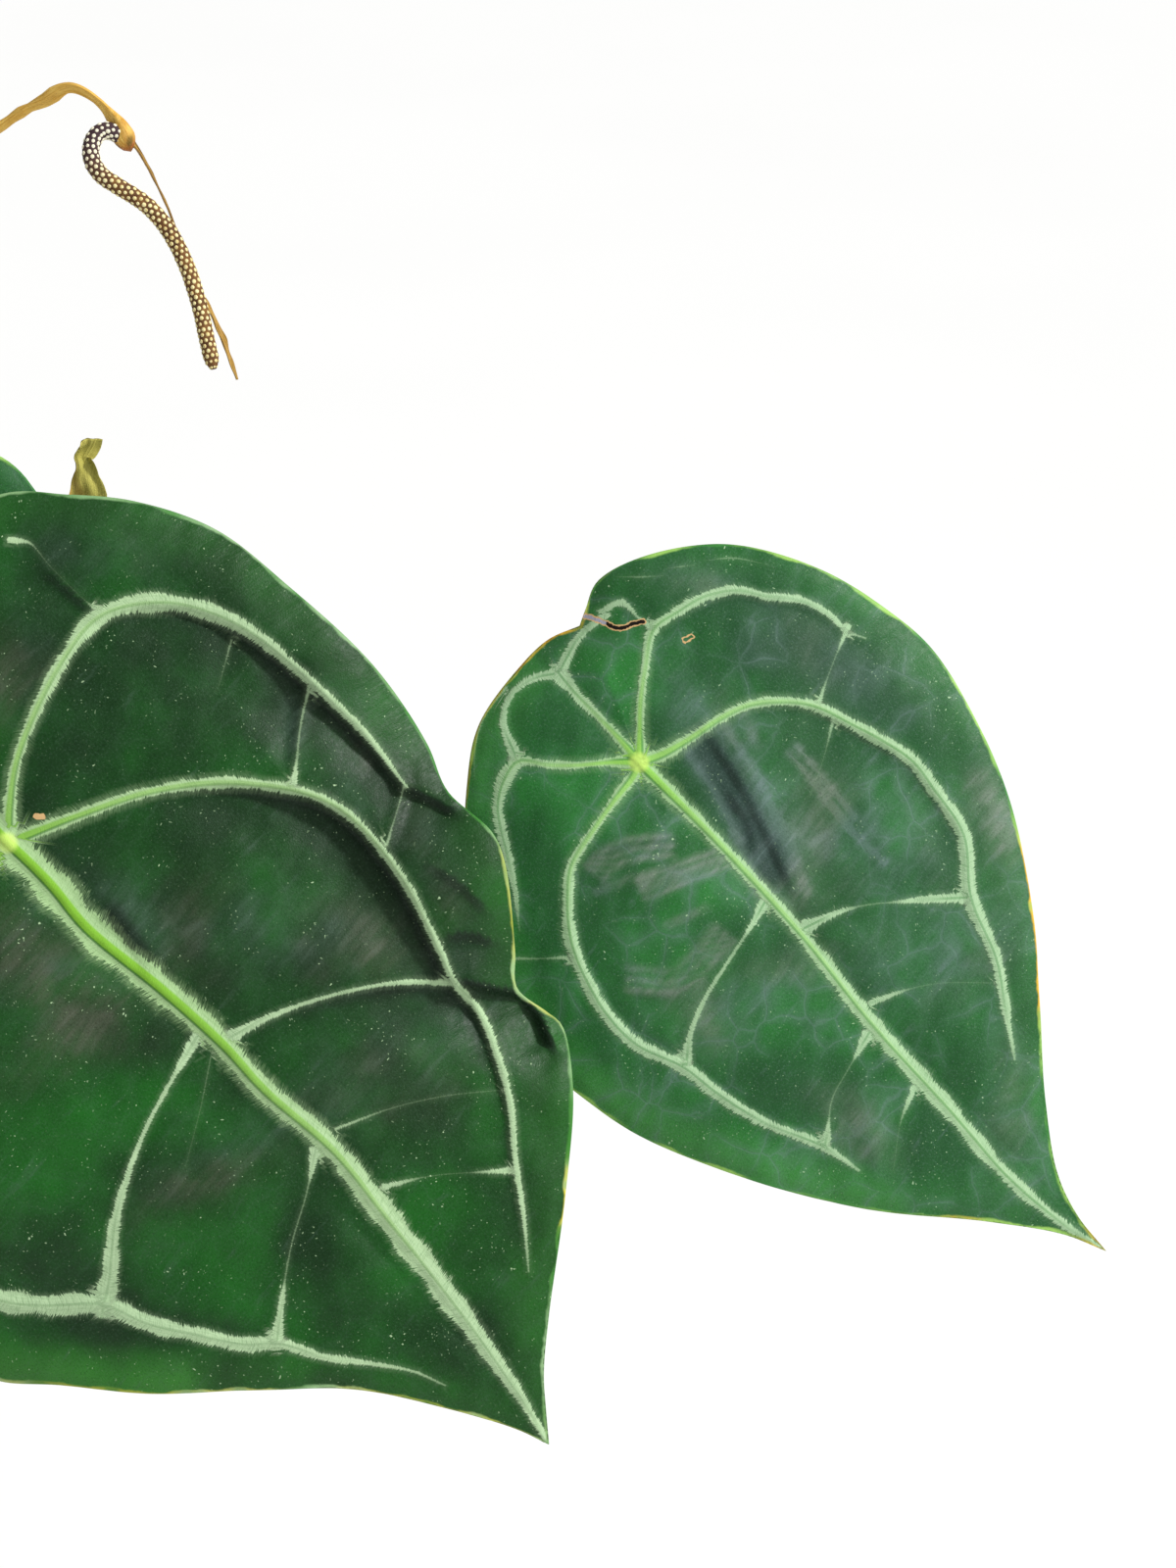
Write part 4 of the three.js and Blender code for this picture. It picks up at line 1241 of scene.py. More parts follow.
BROAD = LeafShape(
    right=(
        (-74, 0), (-73, 20), (-65, 54), (-54, 66), (-42, 77), (-24, 87), (-2, 91), (26, 93.5), (49, 90.5),
        (61, 86.6), (76, 88), (84, 85), (101, 72.6), (108, 67), (117, 68.4), (122, 69), (135, 61),
        (153, 42.4), (172, 20), (182, 9.3), (189, 3.7), (196, -1.6),
    ),
    left=(
        (-74, 0), (-70, -24), (-61, -47), (-45, -70), (-19, -88), (20, -97), (60, -99), (84, -96),
        (95, -91), (105, -80.5), (121, -65.5), (138, -45), (154, -27), (173, -13.5), (188, -4.7),
        (196, -1.6),
    ),
    veins=(
        Vein(
            (
                (-3, 0), (14, 1), (28, 0.5), (51, 4), (71, 6), (85, 6), (108, 8.5), (128, 7), (153, 5),
                (181, 1.5), (194, -1),
            ),
            band=(4.4, 4.2, 3.8, 3.1, 2.8, 2.7, 3.0, 3.1, 2.9, 1.9, 0.8),
            lime=(1, 1, 1, 0.9, 0.65, 0.4, 0.15, 0.05, 0), rib=1.0,
        ),
        Vein(
            (
                (0, 0), (6.5, 17), (14.5, 35), (27, 51.5), (45, 64), (66.5, 65), (87.5, 60), (97, 57),
                (106.5, 56.5), (126.5, 48), (138, 39.5), (150, 31.5), (160, 24),
            ),
            band=(2.4, 1.5, 1.4, 1.5, 1.4, 1.3, 1.2, 1.2, 1.0, 1.1, 1.1, 0.9, 0.7, 0.3),
            lime=(0.9, 0.5, 0.3, 0.1, 0, 0, 0), rib=0.5,
            shelf=(0, 0, 0.3, 2.4, 5.0, 5.4, 4.6, 3.6, 2.4, 1.2, 0.5, 0),
        ),
        Vein(
            (
                (0, 0), (4, -18), (12, -39), (26, -60), (46, -75), (66, -79), (80, -76.5), (89, -68.5),
                (98, -58), (108, -53.5), (118, -46.5), (128, -39), (133, -33), (143, -27), (152, -19.5),
                (160, -13.5), (167, -10.5),
            ),
            band=(2.2, 1.5, 1.6, 2.0, 2.6, 2.9, 3.0, 2.8, 2.8, 2.4, 2.0, 2.0, 1.3, 0.6, 0.3),
            lime=(0.9, 0.4, 0.1, 0, 0, 0), rib=0.4, shelf=(0, -0.6, -1.0, -0.6, 0),
        ),
        Vein(
            (
                (0, 0), (-6.5, 6.5), (-14, 16), (-24, 39), (-26, 53), (-18, 66.5), (-3.5, 75.5),
                (17, 79.5), (38, 81), (53, 80),
            ),
            band=(2.4, 1.4, 1.4, 1.7, 2.2, 2.4, 2.1, 1.5, 1.2, 1.0, 0.5), lime=(0.8, 0.35, 0.2, 0, 0),
            rib=0.4, shelf=(0, 0, 0, 0.2, 1.6, 2.6, 3.8, 4.4, 4.6, 2.6),
        ),
        Vein(
            (
                (0, 0), (-6.5, -6.5), (-14, -16), (-24, -39), (-25, -56), (-12, -74), (8, -83), (34, -87),
                (56, -87),
            ),
            band=(2.3, 1.2, 1.2, 1.5, 1.9, 2.0, 1.8, 1.4, 1.0, 0.4), lime=(1, 0.35, 0.1, 0, 0), rib=0.4,
            shelf=(0, -0.4, -1.0, -0.8, 0),
        ),
        Vein(
            ((70.5, 8.5), (72.5, 17), (76, 26.5), (81.5, 37.5), (88, 47.5), (97, 57)),
            band=(2.0, 0.8, 0.55, 0.5, 0.6, 0.7, 0.9), rib=0.3, shelf=(0, 0.6, 1.4, 2.2, 1.6),
        ),
        Vein(
            ((65, 2.5), (68, -7), (73, -21), (79, -33), (85.5, -43), (93.5, -52), (98, -58)),
            band=(1.8, 0.6, 0.6, 0.6, 1.0, 1.4, 2.1, 3.0), rib=0.3,
        ),
        Vein(
            ((104.5, 5), (111, -4), (117.5, -14.5), (126.5, -26), (132.5, -33)),
            band=(1.6, 0.25, 0.2, 0.2, 0.25, 1.0, 2.0), rib=0.15,
        ),
        Vein(
            ((19, 80), (25.5, 71), (32, 64), (35.5, 60)), band=(0.7, 0.35, 0.3, 0.35, 0.9), rib=0.3,
            shelf=(0.8, 2.0, 1.6, 0.4),
        ),
        Vein(
            ((-26, 53), (-35.5, 52), (-44, 51.5), (-51, 51.5), (-54, 49)),
            band=(0.9, 0.04, 0.04, 0.04, 0.2, 0.8), rib=0.1,
        ),
        Vein(((104, 13), (109, 25.5), (115.5, 37), (124.5, 49)), band=(0.5, 0.14, 0.12, 0.1), rib=0.1),
        Vein(((122, 11.5), (127.5, 21.5), (139.5, 36.5)), band=(0.9, 0.12, 0.1, 0.9), rib=0.1),
        Vein(((-0.5, 71.5), (5.5, 62.5)), band=(0.3, 0.15, 0.05), rib=0.05),
        Vein(((53, 80), (61.5, 66.5)), band=(0.3, 0.2, 0.4), rib=0.2, shelf=(-1.6, -1.0)),
        Vein(((69, 4), (78, -8), (86, -20)), band=(0.2, 0.1, 0.05), rib=0.05),
    ),
)
NOTCHED = LeafShape(
    right=(
        (-35, 13), (-37, 17), (-40, 24), (-36, 37.5), (-24, 54), (-4, 66), (15, 71.5), (30, 73), (52, 68),
        (72, 60), (97, 44), (112, 31.4), (131, 15.4), (147, 4.6), (158, 1), (170, 0),
    ),
    left=(
        (-35, 13), (-38, 5), (-38, -5), (-34.5, -22.5), (-25.6, -35), (-8, -52), (14, -65), (34, -69.5),
        (52, -68), (68, -64.5), (93, -53), (119, -37), (144, -16), (159, -5), (170, 0),
    ),
    veins=(
        Vein(
            ((-2, 0), (28, 0.5), (60.5, -0.5), (86, -3), (118, -4), (139, -5), (158, -3), (168, -0.5)),
            band=(2.4, 1.8, 1.6, 1.6, 1.9, 2.2, 2.4, 2.3, 1.9, 1.5, 0.6),
            lime=(1, 0.5, 0.4, 0.3, 0.2, 0.1, 0), rib=0.6,
        ),
        Vein(
            (
                (0, 0), (2.5, 5.5), (4.5, 13.5), (6, 22), (8.5, 29.5), (13, 35.5), (19.5, 41),
                (28.5, 44.5), (46.5, 49.5), (55.5, 48.5), (69, 46), (81.5, 36.5), (97, 30.5), (107, 24),
                (117.5, 17),
            ),
            band=(2.2, 1.4, 1.3, 1.3, 1.5, 1.7, 1.8, 2.0, 2.0, 2.0, 1.7, 1.3, 0.4),
            lime=(0.8, 0.4, 0.2, 0.1, 0, 0, 0), rib=0.5, shelf=(0, 0.6, 1.0, 0.8, 0.4, 0),
        ),
        Vein(
            (
                (0, 0), (-4.5, 4.5), (-10.5, 10.5), (-16, 17.5), (-21.5, 25.5), (-20.5, 32.5),
                (-18.5, 40.5), (-14, 47.5), (-8, 51.5), (-1.5, 57), (6.5, 60), (12, 60), (16, 62),
            ),
            band=(2.2, 1.2, 1.1, 1.1, 1.5, 1.5, 1.3, 1.2, 1.1, 1.1, 0.8, 0.3), lime=(1, 0.3, 0.1, 0, 0),
            rib=0.4, shelf=(0, 0, 0.6, 1.0, 0.8, 0.3),
        ),
        Vein(
            ((0, 0), (-6.5, 0.5), (-15, 0.5), (-23.5, 0.5), (-30, 1)), band=(2.2, 1.4, 1.1, 1.4, 2.3),
            lime=(1, 0.3, 0), rib=0.4,
        ),
        Vein(
            ((-30, 1), (-31.5, 5.5), (-33, 10.5), (-33, 15.5), (-32.5, 19)),
            band=(2.0, 1.6, 1.2, 1.0, 0.9), rib=0.3,
        ),
        Vein(
            ((-30, 1), (-33, -3.5), (-34.5, -8.5), (-33.5, -14), (-30, -18), (-24, -20.5)),
            band=(2.0, 1.3, 0.8, 0.9, 1.0, 1.8), rib=0.3,
        ),
        Vein(
            (
                (0, 0), (-4, -4), (-10.5, -12), (-15.5, -17), (-21, -21.5), (-20, -27.5), (-16.5, -33),
                (-11.5, -36.5), (-8, -38.5), (1, -44), (9, -50),
            ),
            band=(2.2, 1.1, 1.0, 1.1, 1.9, 1.8, 1.4, 1.3, 0.7, 0.2), lime=(1, 0.3, 0, 0), rib=0.3,
        ),
        Vein(
            (
                (0, 0), (1.5, -3.5), (2.5, -10.5), (4, -18.5), (7, -30), (11.5, -35.5), (17, -40.5),
                (23.5, -44.5), (38.5, -49), (50.5, -49), (62.5, -44.5), (73, -43), (86.5, -39.5),
                (101, -33), (110.5, -31),
            ),
            band=(2.0, 1.2, 1.2, 1.5, 1.8, 1.8, 1.8, 1.8, 1.9, 1.6, 1.2, 1.5, 0.4),
            lime=(0.8, 0.3, 0.1, 0, 0, 0), rib=0.4, shelf=(0, -0.8, -1.0, -0.5, 0),
        ),
        Vein(
            ((58.5, 2), (61, 9.5), (64.5, 16), (70, 23), (74.5, 28.5), (81, 36)),
            band=(2.0, 0.9, 0.25, 0.2, 0.8, 1.3, 1.8), rib=0.2,
        ),
        Vein(
            ((47, -2.5), (49, -9.5), (51, -18), (54, -29.5), (58, -38), (63, -44)),
            band=(1.6, 0.4, 0.5, 0.6, 0.8, 1.7), rib=0.2,
        ),
        Vein(
            ((88.5, -6), (91, -14.5), (94, -23.5), (98.5, -29), (101, -32.5)),
            band=(1.8, 0.2, 0.18, 0.25, 1.5), rib=0.15,
        ),
        Vein(((12, 60.5), (14.5, 54.5), (17, 49), (20, 43)), band=(0.9, 0.2, 0.16, 0.7), rib=0.1),
        Vein(((-21.5, 25.5), (-26, 24.8), (-32, 24.5), (-33.5, 20)), band=(1.2, 0.4, 0.9, 0.9), rib=0.2),
        Vein(((-36.5, 29), (-33, 32.5), (-30, 36)), band=(0.1, 0.3, 0.06), rib=0.05),
        Vein(((-29.5, 39.5), (-26.5, 43.5)), band=(0.06, 0.25, 0.06), rib=0.05),
        Vein(((-24.5, 47.5), (-20.5, 52.5), (-14, 57)), band=(0.06, 0.3, 0.2, 0.05), rib=0.05),
        Vein(((83.5, 1), (87, 9), (91.5, 16), (101, 26)), band=(1.1, 0.14, 0.1, 0.12), rib=0.05),
        Vein(((106, -6.5), (110, -15), (117, -24)), band=(1.0, 0.12, 0.05), rib=0.05),
        Vein(((-36.5, -12), (-35.5, -19), (-32, -26), (-26, -32)), band=(0.5, 0.35, 0.4, 0.1), rib=0.1),
        Vein(((25, 43.5), (31, 34), (35, 26)), band=(0.6, 0.1, 0.05), rib=0.05),
        Vein(((24, -45), (17, -53), (13, -57)), band=(0.7, 0.2, 0.5), rib=0.05),
    ),
)
PLAIN_SIDE = (
    (-46, 0), (-44, 17), (-38, 34), (-26, 50), (-8, 63), (14, 70.5), (38, 71.5), (62, 65), (84, 53.5),
    (104, 40), (122, 25.5), (138, 13), (152, 5), (170, 0),
)
PLAIN_VEINS = (
    Vein(
        ((0, 0), (6, 15), (15, 31), (30, 43), (50, 48), (72, 43), (95, 31), (132, 12)),
        band=(2.2, 1.3, 1.2, 1.5, 1.7, 1.5, 1.3, 0.8, 0.2), lime=(1, 0.5, 0.1, 0), rib=0.5,
        shelf=(0, 0.6, 1.2, 1.0, 0.4, 0),
    ),
    Vein(
        ((0, 0), (-10, 10), (-20, 24), (-20, 36), (-10, 50), (6, 58), (28, 61)),
        band=(2.2, 1.2, 1.2, 1.6, 1.5, 1.2, 0.4), lime=(1, 0.3, 0), rib=0.4, shelf=(0, 0.4, 1.0, 0.4),
    ),
    Vein(((50, 0), (56, 18), (70, 43)), band=(1.8, 0.3, 0.25, 0.9, 1.8), rib=0.2),
    Vein(((80, 0), (87, 14), (98, 29)), band=(1.6, 0.2, 0.2, 1.2), rib=0.15),
    Vein(((-20, 30), (-30, 28), (-36, 20)), band=(1.4, 0.4, 0.5), rib=0.2),
    Vein(((4, 57.5), (12, 46), (20, 37)), band=(0.9, 0.15, 0.6), rib=0.1),
)
PLAIN = LeafShape(
    right=PLAIN_SIDE, left=tuple(((x, -y) for x, y in PLAIN_SIDE)),
    veins=(
        Vein(
            ((-2, 0), (40, 0), (90, 0), (130, 0), (166, 0)), band=(3.4, 2.4, 2.2, 2.1, 1.8, 1.1, 0.3),
            lime=(1, 0.8, 0.5, 0.2, 0.1, 0), rib=0.8,
        ),
        Vein(
            ((0, 0), (-14, 0), (-30, 1), (-38, 0)), band=(2.2, 0.9, 0.8, 0.3), lime=(1, 0.2, 0), rib=0.3,
        ),
        *PLAIN_VEINS, *(vein.mirrored() for vein in PLAIN_VEINS),
    ),
)

FULL_BACKED = replace(
    PLAIN, right=((-46, 0), (-46.5, 14), (-44.8, 24), (-42.3, 29), (-38.2, 34), *PLAIN_SIDE[3:]),
)


@dataclass(frozen=True)
class LeafPlace:
    """Where a leaf stands: its joint, the ways its tip and its upper face point, and its scale."""

    hub: Point3
    to_tip: Point3
    face_up: Point3
    scale: float = 1.0

    def basis(self) -> Array:
        """The ways to the tip, to the right and off the upper face, one a row."""
        up = np.asarray(self.face_up, float)
        up /= np.linalg.norm(up)
        tip = np.asarray(self.to_tip, float)
        tip -= (tip @ up) * up
        tip /= np.linalg.norm(tip)
        return np.stack([tip, np.cross(up, tip), up])

    def carry(self, x: Array, y: Array, height: Array) -> Array:
        """Points of the leaf's own frame in the row frame, one a row."""
        return np.asarray(self.hub) + self.scale * np.stack([x, y, height], axis=-1) @ self.basis()


@dataclass(frozen=True)
class Blade:
    """One blade: a thin velvet shield with ribbed veins, swollen panels and a waved margin."""

    name: str
    shape: LeafShape
    place: LeafPlace
    finish: LeafFinish
    slot: Slot
    tip_drop: float
    side_drop: float
    back_drop: float
    wave: float
    wave_phase: float
    swells: tuple[Patch, ...] = ()
    creases: tuple[Crease, ...] = ()
    # Painted sheen, painted light (painted shade where negative) and scorch, by place on the blade.
    sheens: tuple[Patch | Stroke, ...] = ()
    glows: tuple[Patch | Stroke, ...] = ()
    burns: tuple[Patch | Stroke, ...] = ()
    tears: tuple[tuple[tuple[Point2, ...], Tear], ...] = ()
    quilt: float = 0.5
    columns: int = 96
    rows: int = 110
    thickness: float = 0.8
    seed: int = 1

    def arch(self, x: Array, y: Array) -> Array:
        """The blade's broad form: arched to the tip, sides and back, with a waved margin.

        Args:
            x: Distance ahead of the petiole's joint.
            y: Distance to the left of the midrib.

        Returns:
            The height of each point.
        """
        shape = self.shape
        to_tip, to_back = self.tip_drop * (x / shape.reach) ** 2, self.back_drop * (x / shape.back) ** 2
        along = np.where(x > 0, to_tip, to_back)
        across = self.side_drop * (y / shape.half_width) ** 2
        channel = 1.6 * (1 - np.exp(-np.abs(y) / 14))
        waves = np.sin(x / 11 + self.wave_phase + np.where(y > 0, 0, 2))
        height = channel + self.wave * (np.abs(y) / shape.half_width) ** 3 * waves - along - across
        return height + sum(swell.reach(x, y) for swell in self.swells)

    def flat_blade(self) -> Mesh:
        """The blade pressed flat: even rows from the back to the tip, closer along the midrib."""
        grid, across, along = sheet(self.columns, self.rows)
        side = 2 * across - 1
        side = np.sign(side) * np.abs(side) ** 1.22
        midrib = Route(((self.shape.right[0]), (0, 0), *self.shape.veins[0].line[1:], self.shape.right[-1]))
        right, left = Route(self.shape.right).at(along), Route(self.shape.left).at(along)
        middle = midrib.at(along)
        out = np.where(side[:, None] > 0, right, left)
        flat = middle + np.abs(side)[:, None] * (out - middle)
        move_to(grid, np.column_stack([flat, np.zeros(len(flat))]))
        bmesh.ops.remove_doubles(grid, verts=grid.verts[:], dist=0.02)
        bmesh.ops.recalc_face_normals(grid, faces=grid.faces[:])
        if grid.faces[:][0].normal.z < 0:
            bmesh.ops.reverse_faces(grid, faces=grid.faces[:])
        bmesh.ops.solidify(grid, geom=grid.faces[:], thickness=self.thickness)
        grid.normal_update()
        rims = [
            edge
            for edge in grid.edges
            if len(edge.link_faces) == 2 and edge.link_faces[0].normal.dot(edge.link_faces[1].normal) < 0.5
        ]
        bmesh.ops.bevel(grid, geom=rims, offset=0.28, affect="EDGES", segments=2, profile=0.5, material=-1)
        bmesh.ops.recalc_face_normals(grid, faces=grid.faces[:])
        return grid

    def build(self) -> Piece:
        """Bends the flat blade into the leaf, marks its veins for the shader and settles it."""
        grid = self.flat_blade()
        flat = np.array([vertex.co for vertex in grid.verts])
        places, depth = flat[:, :2], flat[:, 2] / -self.thickness
        x, y = places.T
        height = self.arch(x, y)

        far_off, apart = 1e3, 37
        inside = np.full(len(x), -far_off)
        vein = np.zeros((len(x), 3))
        near = np.zeros((len(x), 3))
        rib = np.zeros(len(x))
        nearest = np.full(len(x), far_off)
        painted_hollow_shade = np.zeros(len(x))
        for mark in self.shape.veins:
            route = Route(mark.line)
            line = route.at(np.linspace(0, 1, max(3, round(route.length / 1.6))))
            distance, offset, along = measure_to_line(places, line)
            share = along / route.length
            half = spread(mark.band, share)
            core = mark.rib * (1 - 0.6 * share)
            rib = np.maximum(rib, core * bell(distance, 0.75 + 0.9 * mark.rib))
            step = spread(mark.shelf, share)
            height += ledge(distance, offset, step, 14)
            painted_hollow_shade = np.maximum(painted_hollow_shade, hollow(distance, offset, step, 2.2))
            nearest = np.minimum(nearest, distance)
            wins = half - distance > inside
            inside = np.where(wins, half - distance, inside)
            vein[wins] = np.stack([along + apart * len(mark.line), offset, half], axis=1)[wins]
            near[wins, 0] = distance[wins]
            near[wins, 1] = spread(mark.lime, share)[wins]

        steps = np.linspace(0, 1, 220)
        outline = np.vstack([Route(self.shape.right).at(steps), Route(self.shape.left).at(steps[::-1])])
        near[:, 2] = measure_to_line(places, outline)[0]
        height += self.quilt * (1 - bell(nearest, 7)) * ramp(0, 14, near[:, 2])
        height += 0.5 * ripple(places, 34, self.seed) * ramp(0, 9, nearest)
        height += 0.12 * ripple(places, 9, self.seed + 7)
        height += 0.9 * bell(np.hypot(x, y), 3.2)
        height -= 0.7 * bell(near[:, 2], 2.2)
        for crease in self.creases:
            lift, deep = crease.lift(places)
            height += lift
            painted_hollow_shade = np.maximum(painted_hollow_shade, deep)

        top, keel = height + rib, height - self.thickness - 1.3 * rib
        tear = np.tile((0.0, 50.0, 50.0), (len(x), 1))
        for line, kind in self.tears:
            distance, offset, _ = measure_to_line(places, Route(line).at(np.linspace(0, 1, 16)))
            wins = distance < tear[:, 2]
            tear[wins] = np.stack([np.full(len(x), kind.value), offset, distance], axis=1)[wins]
        # Painted sheen; painted light less the painted shade of the hollows; scorch.
        sheen = np.clip(sum((mark.reach(x, y) for mark in self.sheens), 0 * x), 0, 1)
        glow = np.clip(sum((mark.reach(x, y) for mark in self.glows), 0 * x) - 1.1 * painted_hollow_shade, -1, 1)
        burn = np.clip(sum((mark.reach(x, y) for mark in self.burns), 0 * x), 0, 1)
        move_to(grid, self.place.carry(x, y, top + depth * (keel - top)))
        keep(grid, "leaf", x, y, depth)
        keep(grid, "vein", *vein.T)
        keep(grid, "near", *near.T)
        keep(grid, "cast", sheen, glow, burn)
        keep(grid, "tear", *tear.T)
        return settle(self.name + "_blade", grid, self.finish.make(), self.slot, self.name + "_blade")


